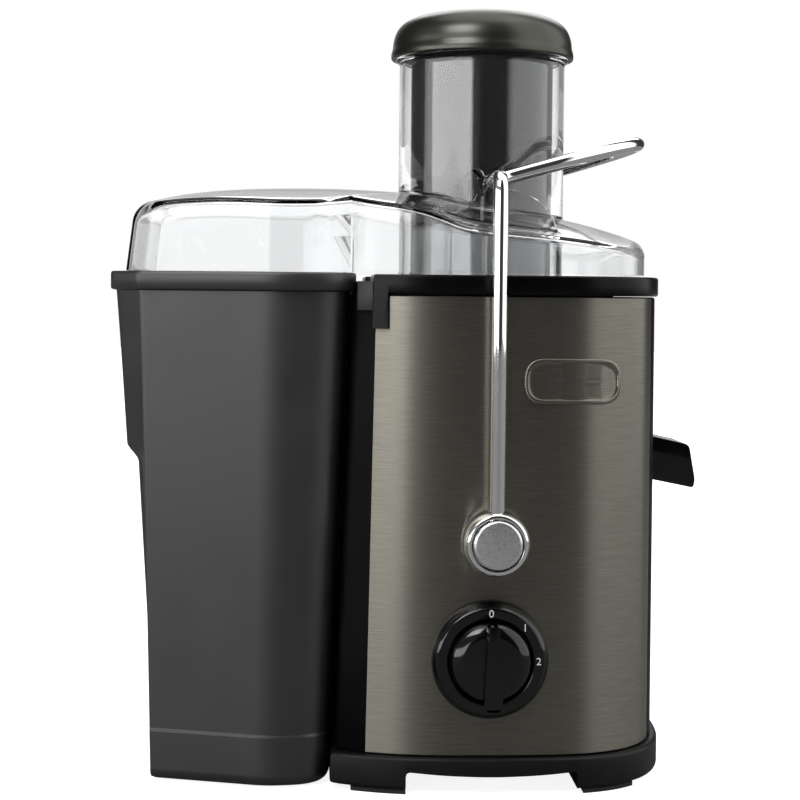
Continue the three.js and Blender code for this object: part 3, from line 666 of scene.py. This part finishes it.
def juice_spout():
    """Closed channel that slopes down to the right."""
    side = [(67, 156.4, 0), (102.2, 148.7, 2.4), (105.4, 131, 2.4), (104.3, 127.8, 1.2), (67, 135.2, 0)]
    spout = prism("juice_spout_channel", rounded(side, 8), -16, 16, along_y)
    soften(spout, 1.6, 4, 50)
    bore = [(60, 155.4), (112, 144), (112, 129.2), (60, 139.6)]
    combine(spout, [prism("cut", bore, -13.6, 13.6, along_y)], "DIFFERENCE")
    finish_piece(spout, "base", "gloss_black", "juice_spout")


def spout_escutcheon():
    """Plate round the root of the spout."""
    low, high = span("spout_escutcheon")
    middle = (low.z + high.z) / 2
    corners = [(-18.7, -13.5), (18.7, -13.5), (18.7, 13.5), (-18.7, 13.5)]
    outline = rounded([(u, middle + v, 3.5) for u, v in corners], 10)
    plate = prism("spout_escutcheon_plate", outline, low.x, high.x, along_x)
    combine(plate, [block("cut", (70, -16.3, 131.6), (90, 16.3, 154))], "DIFFERENCE")
    soften(plate, 0.7)
    finish_piece(plate, "base", "gloss_black", "spout_escutcheon")


def filter_basket():
    """Cone of perforated steel between a solid floor and a solid band at the top."""
    sides, rows, wall = 120, 22, 0.9
    floor, top = 152.0, span("filter_basket")[1].z
    floor_radius, top_radius = 45.5, 54
    first = floor + 3
    points = []
    faces = []
    for layer in (0, wall):
        for row in range(rows + 1):
            z = first + (top - first) * row / rows
            radius = floor_radius + (top_radius - floor_radius) * (z - floor) / (top - floor) - layer
            for i in range(sides):
                a = 2 * math.pi * (i + 0.5 * (row % 2)) / sides
                points.append((radius * math.cos(a), radius * math.sin(a), z))
    stride = (rows + 1) * sides
    for row in range(rows):
        for i in range(sides):
            k = (i + 1) % sides
            ring = (row * sides + i, row * sides + k, (row + 1) * sides + k, (row + 1) * sides + i)
            if row in (0, rows - 1):
                faces += [ring, tuple(q + stride for q in reversed(ring))]
                continue
            hole = []
            for layer in (0, stride):
                corners = [Vector(points[q + layer]) for q in ring]
                centre = sum(corners, Vector()) / 4
                hole.append(len(points))
                points.extend(tuple(centre.lerp(q, 0.5)) for q in corners)
            outer, inner = hole
            for q in range(4):
                w = (q + 1) % 4
                faces.append((ring[q], ring[w], outer + w, outer + q))
                faces.append((ring[w] + stride, ring[q] + stride, inner + q, inner + w))
                faces.append((outer + q, outer + w, inner + w, inner + q))
    last = rows * sides
    for i in range(sides):
        k = (i + 1) % sides
        faces.append((last + i, last + k, last + k + stride, last + i + stride))
        faces.append((i, i + stride, k + stride, k))
    basket = new_object("filter_basket_mesh", points, faces)
    finish_piece(basket, "rotor", "steel", "filter_basket")
    corners = [(10.5, 150, 0), (15, 150, 0.5), (15, 152, 0), (45.6, 152, 1), (46.1, 155.6, 0.5),
               (44.6, 155.6, 0.4), (44, 153.8, 0.5), (15, 153.8, 0), (15, 163.2, 1), (0, 164, 0),
               (0, 161, 0), (10.5, 161, 0)]
    dish = lathe("filter_basket_floor", rounded(corners, 4), upright(), 96)
    finish_piece(dish, "rotor", "steel")


def grater_disc():
    """Disc with rings of small teeth that lean the way it turns."""
    low, high = span("grater_disc")
    top = low.z + 1.7
    profile = [(15.5, low.z), (42.3, low.z), (42.3, top - 0.3), (41.6, top), (16.2, top), (15.5, top - 0.3)]
    disc = lathe("grater_disc_plate", profile, upright(), 96)
    root = low.z + 1.5
    points = []
    faces = []
    for row in range(6):
        radius = 19.5 + row * 4.1
        count = 10 + row * 4
        for i in range(count):
            a = 2 * math.pi * (i + 0.4 * row) / count
            out = Vector((math.cos(a), math.sin(a), 0))
            along = Vector((-math.sin(a), math.cos(a), 0))
            foot = out * radius + Vector((0, 0, root))
            n = len(points)
            for u, v in [(-0.9, -0.7), (0.9, -0.7), (0.9, 0.5), (-0.9, 0.5)]:
                points.append(tuple(foot + out * u + along * v))
            points.append(tuple(foot + Vector((0, 0, high.z - root)) + along * 0.7))
            faces += [(n + k, n + (k + 1) % 4, n + 4) for k in range(4)]
            faces.append((n + 3, n + 2, n + 1, n))
    teeth = new_object("grater_teeth", points, faces)
    finish_piece(disc, "rotor", "steel", "grater_disc")
    finish_piece(teeth, "rotor", "steel", smooth=10)


def basket_rim():
    low, high = span("basket_rim")
    corners = [(51.4, low.z, 0.4), (55.4, low.z, 0.8), (55.4, high.z, 1.2), (51.4, high.z, 1.2)]
    rim = lathe("basket_rim_ring", rounded(corners, 5), upright(), 128)
    finish_piece(rim, "rotor", "grey_plastic", "basket_rim")


# ---------- controls on the front ----------
def knob_bezel():
    """Dished ring round the knob, with a flat land for the numbers."""
    corners = [(7, 0.6, 0), (26, 0.6, 0.3), (26, 2.6, 1.4), (23.6, 5.9, 0.8), (22.9, NUMBER_LAND, 0.4),
               (19.2, NUMBER_LAND, 0.5), (18.2, 5.2, 0.6), (18.2, 2.6, 0.3), (7, 2.6, 0)]
    bezel = lathe("knob_bezel_ring", rounded(corners, 5), facing(-1, KNOB_X, KNOB_Z), 160)
    finish_piece(bezel, "base", "gloss_black", "knob_bezel")


def dial_numbers():
    """Printed 0, 1 and 2, a step of the knob apart."""
    radius = 21
    for number in range(3):
        text = bpy.data.curves.new("number", "FONT")
        text.body = str(number)
        text.size = 4.7 * MM
        text.extrude = 0.06 * MM
        text.align_x = "CENTER"
        text.align_y = "CENTER"
        source = bpy.data.objects.new("number", text)
        bpy.context.scene.collection.objects.link(source)
        angle = math.radians(45 * number)
        x, z = KNOB_X + radius * math.sin(angle), KNOB_Z + radius * math.cos(angle)
        place = AXIS + Vector((x, -(FACE + NUMBER_LAND), z)) * MM
        source.matrix_world = Matrix.Translation(place) @ Matrix.Rotation(math.pi / 2, 4, "X")
        bpy.context.view_layer.update()
        evaluated = source.evaluated_get(bpy.context.evaluated_depsgraph_get())
        mesh = bpy.data.meshes.new_from_object(evaluated)
        mesh.transform(source.matrix_world)
        bpy.data.objects.remove(source)
        printed = bpy.data.objects.new(f"dial_number_{number}", mesh)
        bpy.context.scene.collection.objects.link(printed)
        finish_piece(printed, "base", "gloss_black", look="dial_print")


def control_knob():
    """Domed disc with a narrow grip bar that points to a number."""
    corners = [(0, 3.2, 0), (17.6, 3.2, 0.3), (17.6, 8.4, 2.2), (13.5, 11, 2), (0, 11.6, 0)]
    disc = lathe("control_knob_disc", rounded(corners, 6), facing(-1, KNOB_X, KNOB_Z), 160)
    corners = [(-2.3, 17.6, 1.6), (2.3, 17.6, 1.6), (4.1, -17.6, 2), (0, -20.6, 4), (-4.1, -17.6, 2)]
    outline = [(KNOB_X + u, KNOB_Z + v) for u, v in rounded(corners, 5)]
    grip = prism("grip", outline, -FACE - 8, -FACE - 20, along_y)
    soften(grip, 0.9, 4, 50)
    combine(disc, [grip], "UNION")
    finish_piece(disc, "knob", "gloss_black", "control_knob")


# ---------- bail ----------
def bail_loop_point(angle):
    """Point of the handle loop, a squarish half oval that rises to the right."""
    x = BAIL_REACH * math.cos(angle) ** BAIL_LOOP_POWER
    y = BAIL_LOOP_HALF_DEPTH * math.copysign(abs(math.sin(angle)) ** BAIL_LOOP_POWER, angle)
    return Vector((x, y, BAIL_TOP + x * math.tan(BAIL_TILT)))


def curve_between(a, b, c, steps):
    """Curve from a to c that leaves and arrives along the lines through b."""
    shares = [k / steps for k in range(steps + 1)]
    return [a * (1 - t) ** 2 + b * 2 * t * (1 - t) + c * t ** 2 for t in shares]


def bail_path():
    """Up the front leg, inwards over the lid, round the handle loop and down the rear leg."""
    elbow = 8
    start = -1.42
    foot = PIVOT_Z + 11.4
    shoulder = BAIL_TOP - elbow
    front = [Vector((0, -BAIL_PLANE, foot + (shoulder - foot) * k / 6)) for k in range(6)]
    front += curve_between(Vector((0, -BAIL_PLANE, shoulder)), Vector((0, -BAIL_PLANE, BAIL_TOP)),
                           Vector((0, -BAIL_PLANE + elbow, BAIL_TOP)), 12)
    front += curve_between(Vector((0, -BAIL_LOOP_HALF_DEPTH - 9, BAIL_TOP)),
                           Vector((0, -BAIL_LOOP_HALF_DEPTH, BAIL_TOP)), bail_loop_point(start), 10)
    loop = [bail_loop_point(start - 2 * start * k / 90) for k in range(1, 90)]
    rear = [Vector((p.x, -p.y, p.z)) for p in reversed(front)]
    return front + loop + rear


def bail_rod():
    """Round rod swept along the path without twist."""
    path = bail_path()
    sides = 24
    rings = []
    normal = Vector((1, 0, 0))
    for i, point in enumerate(path):
        ahead = path[min(i + 1, len(path) - 1)] - path[max(i - 1, 0)]
        ahead.normalize()
        normal = (normal - ahead * normal.dot(ahead)).normalized()
        cross = ahead.cross(normal)
        ring = []
        for k in range(sides):
            a = 2 * math.pi * k / sides
            ring.append(tuple(point + (normal * math.cos(a) + cross * math.sin(a)) * ROD_RADIUS))
        rings.append(ring)
    rod = loft("bail_rod_wire", rings)
    finish_piece(rod, "bail", "chrome", "bail_rod")


def bail_hub(side, node):
    """Ring on the pivot, with a socket for the rod's end."""
    corners = [(4.5, 1.8, 0), (13.4, 1.8, 0.6), (14.5, 3.2, 0.8), (14.5, 12.8, 2), (12.9, 15.8, 1.0),
               (11.4, 15.8, 0.3), (11.4, 11.5, 0.3), (4.5, 11.5, 0)]
    hub = lathe(f"{node}_ring", rounded(corners, 6), facing(side, 0, PIVOT_Z), 128)
    low, high, radius = PIVOT_Z + 9.7, PIVOT_Z + 29.7, ROD_RADIUS + 0.3
    socket = [(0, low), (radius, low), (radius, high), (0, high)]
    combine(hub, [lathe("cut", socket, upright(0, side * BAIL_PLANE), 32)], "DIFFERENCE")
    finish_piece(hub, "bail", "chrome", node)


def hub_cap(side, node):
    corners = [(0, 13.4, 0), (10.7, 13.4, 0.3), (10.7, 16.8, 0.7), (9.8, 17.5, 0.6), (0, 17.8, 0)]
    cap = lathe(f"{node}_disc", rounded(corners, 5), facing(side, 0, PIVOT_Z), 128)
    finish_piece(cap, "bail", "satin_metal", node)


# ---------- clear lid ----------
# height of the roof from left to right, along its middle and along its front and rear edges
RIDGE = [(-170, 260), (-140, 267), (-90, 270), (-38, 268.6), (0, 263.5), (42, 256), (66, 249.5), (82, 243)]
SHOULDER = [(-170, 256), (-120, 260), (-45, 259), (-30, 256.5), (-11, 250), (24, 246.2), (41, 243.4),
            (56, 238.8), (70, 233.5), (82, 226)]


def height_at(stations, x):
    """Smooth curve through the stations."""
    x = min(max(x, stations[0][0]), stations[-1][0])
    i = next(k for k in range(1, len(stations)) if stations[k][0] >= x)

    def slope(k):
        a, b = stations[max(k - 1, 0)], stations[min(k + 1, len(stations) - 1)]
        return (b[1] - a[1]) / (b[0] - a[0])

    (x0, z0), (x1, z1) = stations[i - 1], stations[i]
    width = x1 - x0
    t = (x - x0) / width
    return (z0 * (1 + 2 * t) * (1 - t) ** 2 + slope(i - 1) * width * t * (1 - t) ** 2
            + z1 * t ** 2 * (3 - 2 * t) + slope(i) * width * t ** 2 * (t - 1))


def roof_height(x, y):
    """The roof falls from its ridge to its shoulders."""
    bulge = min(1, abs(y) / 87) ** 2.2
    return height_at(RIDGE, x) * (1 - bulge) + height_at(SHOULDER, x) * bulge


def bin_outline(inset, steps=10):
    """Plan of the bin: bevelled corners on the left, a slight knee in the long sides."""
    left, edge, right = BIN_LEFT + inset, BIN_EDGE + 0.53 * inset, BIN_RIGHT - inset
    half = [(left, -57 + 0.4 * inset, 3), (edge, -71.4 + 0.9 * inset, 2), (-96, -87.5 + inset, 8),
            (right, -84 + inset, 18 - inset / 2)]
    return rounded(half + [(x, -y, radius) for x, y, radius in reversed(half)], steps)


def farthest_hit(centre, direction, outline):
    """Distance along a ray from the centre to where it last crosses a closed outline, or 0."""
    best = 0
    dx, dy = direction
    for (x0, y0), (x1, y1) in zip(outline, outline[1:] + outline[:1]):
        ex, ey = x1 - x0, y1 - y0
        cross = dx * ey - dy * ex
        if abs(cross) < 1e-9:
            continue
        px, py = x0 - centre[0], y0 - centre[1]
        along = (px * ey - py * ex) / cross
        share = (px * dy - py * dx) / cross
        if along > best and -1e-9 <= share <= 1 + 1e-9:
            best = along
    return best


def lid_outline(inset, angles):
    """Plan of the lid at each angle about the chute: the hood, the throat and the part over the bowl."""
    bowl = [superellipse_point(a, 76.1 - inset, 87 - inset, -67 + inset) for a in BODY_ANGLES]
    throat = [(-90, -62 + inset), (-50, -62 + inset), (-50, 62 - inset), (-90, 62 - inset)]
    shapes = [bin_outline(4 + inset), bowl, throat]
    points = []
    for a in angles:
        ray = (math.cos(a), math.sin(a))
        reach = max(farthest_hit((CHUTE_X, 0), ray, shape) for shape in shapes)
        points.append((CHUTE_X + reach * ray[0], reach * ray[1]))
    return points


def lid_point(x, y, z):
    """The left end of the hood leans in as it rises."""
    if x < -100:
        x += (z - LID_BOTTOM) * 0.13 * (-100 - x) / 66
    return (x, y, z)


def smooth_step(value, low, high):
    t = min(max((value - low) / (high - low), 0), 1)
    return t * t * (3 - 2 * t)


def edge_radius(x):
    """Rounding between wall and roof: crisp at the front and rear, softer at both ends."""
    return 1.6 + 5.4 * smooth_step(-x, 150, 164) + 2.4 * smooth_step(x, 52, 72)


def lid_skin(outline, lower, root, steps=8):
    """Rings from the bottom edge up the wall, round its top edge and over the roof to the chute."""
    count = len(outline)
    edge = [Vector(p) for p in outline]
    normals = []
    for i in range(count):
        along = (edge[(i + 1) % count] - edge[i - 1]).normalized()
        normals.append(Vector((-along.y, along.x)))
    radii = [edge_radius(p.x) for p in edge]
    inner = [p + n * r for p, n, r in zip(edge, normals, radii)]
    rings = []
    for share in (0, 0.04, 0.5, 0.8):
        ring = []
        for p, q, r in zip(edge, inner, radii):
            top = roof_height(q.x, q.y) - lower - r
            ring.append(lid_point(p.x, p.y, LID_BOTTOM + (top - LID_BOTTOM) * share))
        rings.append(ring)
    for k in range(steps + 1):
        bend = math.pi / 2 * k / steps
        ring = []
        for p, n, r in zip(edge, normals, radii):
            at = p + n * r * (1 - math.cos(bend))
            top = roof_height(at.x, at.y) - lower
            ring.append(lid_point(at.x, at.y, top - r * (1 - math.sin(bend))))
        rings.append(ring)
    spread = 16
    middle = Vector((CHUTE_X, 0))
    for k in range(1, spread + 1):
        ring = []
        for q in inner:
            at = q.lerp(middle + (q - middle).normalized() * root, k / spread)
            ring.append(lid_point(at.x, at.y, roof_height(at.x, at.y) - lower))
        rings.append(ring)
    return rings


def chute_ring(angles, radius, height):
    """Ring round the chute; height says how high it is at (x, y)."""
    ring = [(CHUTE_X + radius * math.cos(a), radius * math.sin(a)) for a in angles]
    return [(x, y, height(x, y)) for x, y in ring]


def lid_angles(count=360):
    """Angles about the chute that step evenly along the plan of the lid."""
    dense = [2 * math.pi * i / 1440 for i in range(1440)]
    return even_steps(dense, lid_outline(0, dense), count, 0.35)


def locking_fin(side):
    """Upright fin on the roof with a notch that the bail snaps into."""
    notch_radius = 3.9
    rise = [(-21.5, 257, 0), (-18, 272.5, 10), (-6.4, 277.3, 4), (-3.9, BAIL_TOP, 0)]
    fall = [(2, BAIL_TOP - 3.9, 0), (10, 267, 3), (24, 261.4, 10), (31, 242, 0)]
    turns = [math.pi * (1 + 0.5 * k / 10) for k in range(1, 11)]
    outline = [(-21.5, 248)] + rounded(rise, 8, closed=False)
    outline += [(notch_radius * math.cos(a), BAIL_TOP + notch_radius * math.sin(a)) for a in turns]
    outline += rounded(fall, 8, closed=False)
    return prism("fin", outline, side * 76 - 1.2, side * 76 + 1.2, along_y)


def clear_lid():
    """One clear moulding: hood, roof, feed chute and two fins."""
    fillet = 1.6
    angles = lid_angles()
    root = CHUTE_RADIUS + fillet
    rings = lid_skin(lid_outline(0, angles), 0, root)
    for k in range(1, 5):
        bend = math.pi / 2 * k / 4
        lift = fillet * (1 - math.cos(bend))
        rings.append(chute_ring(angles, CHUTE_RADIUS + fillet * (1 - math.sin(bend)),
                                lambda x, y: roof_height(x, y) + lift))
    rim = CHUTE_RADIUS + 1.9
    chute = [(CHUTE_RADIUS, CHUTE_TOP - 20, 0), (CHUTE_RADIUS, CHUTE_TOP - 3.6, 0.9),
             (rim, CHUTE_TOP - 2.2, 0.7), (rim, CHUTE_TOP, 0.7), (CHUTE_INNER, CHUTE_TOP, 0.8),
             (CHUTE_INNER, CHUTE_BOTTOM, 0.8), (CHUTE_RADIUS, CHUTE_BOTTOM, 0.8), (CHUTE_RADIUS, 210, 0)]
    for radius, z in rounded(chute, 4, closed=False):
        rings.append(chute_ring(angles, radius, lambda x, y: z))
    rings.append(chute_ring(angles, CHUTE_RADIUS, lambda x, y: roof_height(x, y) - LID_WALL - fillet))
    rings += reversed(lid_skin(lid_outline(LID_WALL, angles), LID_WALL, root))
    lid = loft("clear_lid_shell", rings, closed=True)
    combine(lid, [locking_fin(-1), locking_fin(1)], "UNION")
    finish_piece(lid, "base", "clear_plastic", "clear_lid", "feed_chute", smooth=38)


# ---------- pusher ----------
def pusher():
    """Open cup that slides in the chute, and the domed cap that hangs over the chute's rim."""
    low, high = span("pusher_body")
    corners = [(0, low.z, 0), (34.3, low.z, 4), (34.3, high.z, 0.5), (31.9, high.z, 0.5),
               (31.9, low.z + 3, 3), (0, low.z + 3, 0)]
    tube = lathe("pusher_tube", rounded(corners, 6), upright(CHUTE_X), 128)
    finish_piece(tube, "pusher", "smoked_pusher", "pusher_body")
    low, high = span("pusher_cap")
    ledge = CHUTE_TOP + 0.3
    dome = [(0, high.z, 0), (32, high.z - 0.8, 6), (41, high.z - 6.2, 4.4), (43.1, high.z - 12.5, 2)]
    skirt = [(43.5, low.z + 5, 1), (44.2, low.z + 3, 1), (44.2, low.z + 0.5, 0.5), (43.6, low.z, 0.3)]
    inside = [(42.3, low.z, 0.3), (42.3, ledge, 0.4), (39.6, ledge, 0.4), (39.6, high.z - 10, 5),
              (32, high.z - 4, 4), (0, high.z - 4, 0)]
    cap = lathe("pusher_cap_shell", rounded(dome + skirt + inside, 8), upright(CHUTE_X), 160)
    finish_piece(cap, "pusher", "bronze_cap", "pusher_cap")


# ---------- pulp bin ----------
def bin_left(z):
    """Left wall: leans in towards the foot, with a step that fingers pull on."""
    step_low, step_high, above_step = 143, 152, 4.6
    if z > step_high:
        return BIN_LEFT + above_step * (BIN_TOP - z) / (BIN_TOP - step_high)
    foot = BIN_LEFT + 9.8 + 8.5 * (144 - z) / 144
    share = smooth_step(z, step_low, step_high)
    return foot * (1 - share) + (BIN_LEFT + above_step) * share


def bin_shift(x, z):
    """How far a point of the outline moves sideways between the top of the bin and height z."""
    drop = (BIN_TOP - z) / BIN_TOP
    at_left, at_edge, at_right = bin_left(z) - BIN_LEFT, 5.1 * drop, -8 * drop
    low, high = BIN_LEFT + 4.3, BIN_EDGE - 0.4
    if x < high:
        share = max(x - low, 0) / (high - low)
        return at_left + (at_edge - at_left) * share
    return at_edge + (at_right - at_edge) * (x - high) / (BIN_RIGHT - high)


def bin_ring(inset, z):
    """Outline of the bin at a height; the rim stands straight."""
    level = min(z, BIN_TOP)
    squeeze = 1 - 0.03 * (BIN_TOP - level) / BIN_TOP
    return [(x + bin_shift(x, level), y * squeeze, z) for x, y in bin_outline(inset)]


def pulp_bin():
    """Open bin: round bottom edge, a plinth line, leaning walls, rim, and the inside down again."""
    low = span("pulp_bin")[0].z
    bends = [math.pi / 2 * k / 6 for k in range(7)]
    bottom = [(5 * (1 - math.sin(b)), low + 5 * (1 - math.cos(b))) for b in bends]
    walls = [(0, z) for z in (6, 8, 15, 21, 22.6, 23.4)]
    walls += [(0.3, z) for z in (23.7, 24.4, 26, 32, 60, 100, 130, *range(140, 156), 180)]
    walls += [(0.2, 200), (0, 219), (0, BIN_TOP - 0.6)]
    rim = [(-2.1, BIN_TOP), (-2.5, BIN_TOP + 0.5), (-2.5, RIM_TOP - 1), (-2.2, RIM_TOP - 0.3),
           (-1.5, RIM_TOP), (1.7, RIM_TOP), (2.2, RIM_TOP - 0.6)]
    inside = [(2.2, z) for z in (BIN_TOP, 200, 180, *range(155, 139, -1), 130, 60, 8)] + [(3.6, 4), (7, 3)]
    levels = bottom + walls + rim + inside
    bin_shell = loft("pulp_bin_shell", [bin_ring(inset, z) for inset, z in levels])
    finish_piece(bin_shell, "bin", "bin_plastic", "pulp_bin", smooth=50)


def inlet_gland():
    """Rubber sleeve at the rear."""
    corners = [(4, -6, 0), (7.6, -6, 0.4), (7.6, 1, 0), (10, 1, 0.4), (10, 3, 0.8), (7, 9, 1), (4, 9, 0.5)]
    gland = lathe("inlet_gland_sleeve", rounded(corners, 4), facing(1, GLAND_X, GLAND_Z), 64)
    finish_piece(gland, "base", "rubber", "inlet_gland")


motor_housing()
front_panel()
badge_plate()
top_collar()
pulp_apron()
base_frame()
rubber_feet()
juice_bowl()
juice_spout()
spout_escutcheon()
filter_basket()
grater_disc()
basket_rim()
knob_bezel()
dial_numbers()
control_knob()
bail_rod()
for bail_side, place_name in ((-1, "front"), (1, "rear")):
    bail_hub(bail_side, f"bail_hub_{place_name}")
    hub_cap(bail_side, f"hub_cap_{place_name}")
clear_lid()
pusher()
pulp_bin()
inlet_gland()

# ---------- CAD nodes that stay ----------
for subpart in frame["record"]["subparts"]:
    node_mesh = frame["nodes"][subpart["node"]].data
    node_mesh.materials.clear()
    node_mesh.materials.append(MATERIALS[subpart["material_slot"]])


# ---------- room, light and camera ----------
def floor_plane(name, colour, z, glow):
    """Large square of one grey, which may shine by itself."""
    size = 6
    mesh = bpy.data.meshes.new(name)
    corners = [(-size, -size, z), (size, -size, z), (size, size, z), (-size, size, z)]
    mesh.from_pydata(corners, [], [(0, 1, 2, 3)])
    floor = bpy.data.objects.new(name, mesh)
    bpy.context.scene.collection.objects.link(floor)
    material = principled(name, (colour, colour, colour), 0.8, Emission_Strength=glow,
                          Emission_Color=(1, 1, 1, 1))
    vary_roughness(material, pattern(material, 20), 0.75, 0.85)
    mesh.materials.append(material)
    return floor


def studio_floor():
    """White floor to look at, over a grey one that keeps its bounced light off the dark pieces."""
    seen = floor_plane("studio_floor", 0.6, 0, 0.88)
    seen.visible_diffuse = False
    seen.visible_glossy = False
    seen.visible_shadow = False
    dim = floor_plane("studio_floor_dim", 0.2, -0.0005, 0)
    dim.visible_camera = False
    dim.visible_transmission = False


def studio_world():
    """White for what the camera sees; softbox panels on a dark ground for reflections and light."""
    world = bpy.data.worlds.new("studio")
    bpy.context.scene.world = world
    world.use_nodes = True
    tree = world.node_tree
    tree.nodes.clear()
    link = tree.links.new

    def calculate(operation, *values):
        node = add_node(tree, "Math")
        node.operation = operation
        for socket, value in zip(node.inputs, values):
            if isinstance(value, (int, float)):
                socket.default_value = value
            else:
                link(value, socket)
        return node.outputs["Value"]

    def step(value, start, end):
        node = add_node(tree, "MapRange", From_Min=start, From_Max=end)
        node.interpolation_type = "SMOOTHSTEP"
        link(value, node.inputs["Value"])
        return node.outputs["Result"]

    def window(value, low, high, soft):
        falling = calculate("SUBTRACT", 1, step(value, high, high + soft))
        return calculate("MULTIPLY", step(value, low - soft, low), falling)

    coordinates = add_node(tree, "TexCoord")
    split = add_node(tree, "SeparateXYZ")
    link(coordinates.outputs["Generated"], split.inputs["Vector"])
    x, y, z = (split.outputs[axis] for axis in "XYZ")
    # degrees round the object: 0 in front of the control knob, positive to its right
    around = calculate("MULTIPLY", calculate("ARCTAN2", x, calculate("MULTIPLY", y, -1)), 180 / math.pi)
    behind = calculate("ABSOLUTE", around)
    strength = 0.055
    # angle, its range and soft edge; height range and soft edge; brightness
    panels = [(around, -88, -22, 5, -0.25, 0.2, 0.06, 5.5), (around, -95, -16, 12, -0.7, 0.6, 0.25, 0.3),
              (around, 44, 117, 12, -0.75, 0.85, 0.15, 2.0), (behind, 162, 181, 6, -0.3, 0.8, 0.2, 0.75)]
    for angle, start, end, soft, low, high, fade, level in panels:
        shape = calculate("MULTIPLY", window(angle, start, end, soft), window(z, low, high, fade))
        strength = calculate("MULTIPLY_ADD", shape, level, strength)
    # and one overhead
    strength = calculate("MULTIPLY_ADD", step(z, 0.8, 0.92), 2.2, strength)
    reflected = add_node(tree, "Background")
    link(strength, reflected.inputs["Strength"])
    white = add_node(tree, "Background", Color=(1, 1, 1, 1))
    path = add_node(tree, "LightPath")
    # straight through the clear pieces: white low down, light grey higher up
    bounces = calculate("ADD", path.outputs["Glossy Depth"], path.outputs["Diffuse Depth"])
    through = path.outputs["Is Transmission Ray"]
    straight = calculate("MULTIPLY", through, calculate("LESS_THAN", bounces, 0.5))
    shade = calculate("MULTIPLY_ADD", calculate("MULTIPLY", step(z, 0.12, 0.5), straight), -0.5, 1)
    link(shade, white.inputs["Strength"])
    # light that turned inside one wall: its edges show as grey lines
    shallow = calculate("LESS_THAN", path.outputs["Transmission Depth"], 2.5)
    turned = calculate("MULTIPLY", through, shallow)
    seen = calculate("MAXIMUM", straight, calculate("MULTIPLY", turned, 0.3))
    choose = add_node(tree, "MixShader")
    link(calculate("MAXIMUM", path.outputs["Is Camera Ray"], seen), choose.inputs["Fac"])
    link(reflected.outputs["Background"], choose.inputs[1])
    link(white.outputs["Background"], choose.inputs[2])
    output = add_node(tree, "OutputWorld")
    link(choose.outputs["Shader"], output.inputs["Surface"])


def softbox(name, place, target, size, power, spread=180):
    """Rectangular lamp that faces a target."""
    lamp = bpy.data.lights.new(name, "AREA")
    lamp.shape = "RECTANGLE"
    lamp.size, lamp.size_y = size
    lamp.energy = power
    lamp.spread = math.radians(spread)
    obj = bpy.data.objects.new(name, lamp)
    obj.location = place
    obj.rotation_euler = (Vector(target) - Vector(place)).to_track_quat("-Z", "Y").to_euler()
    bpy.context.scene.collection.objects.link(obj)


def camera():
    """A little above the lid, turned slightly to the right."""
    place = Vector((-82, -874.6, 221))
    yaw, pitch, roll = math.radians(2.91), math.radians(2.16), math.radians(-0.56)
    level = math.cos(pitch)
    forward = Vector((math.sin(yaw) * level, math.cos(yaw) * level, -math.sin(pitch)))
    right = Vector((math.cos(yaw), -math.sin(yaw), 0))
    up = right.cross(forward)
    turned_right = right * math.cos(roll) - up * math.sin(roll)
    turned_up = right * math.sin(roll) + up * math.cos(roll)
    data = bpy.data.cameras.new("camera")
    data.sensor_width = 36
    data.lens = 80.78
    data.shift_y = -0.05
    obj = bpy.data.objects.new("camera", data)
    turn = Matrix((turned_right, turned_up, -forward)).transposed()
    obj.matrix_world = Matrix.Translation(AXIS + place * MM) @ turn.to_4x4()
    bpy.context.scene.collection.objects.link(obj)
    bpy.context.scene.camera = obj


studio_floor()
studio_world()
softbox("key_light", (-0.42, -0.62, 0.85), (-0.08, -0.05, 0.26), (0.6, 0.4), 1.2, 75)
softbox("rear_light", (0.3, 1.4, 1.3), (0, 0, 0.2), (1.2, 0.8), 6)
camera()
bpy.context.scene.view_settings.view_transform = "Standard"
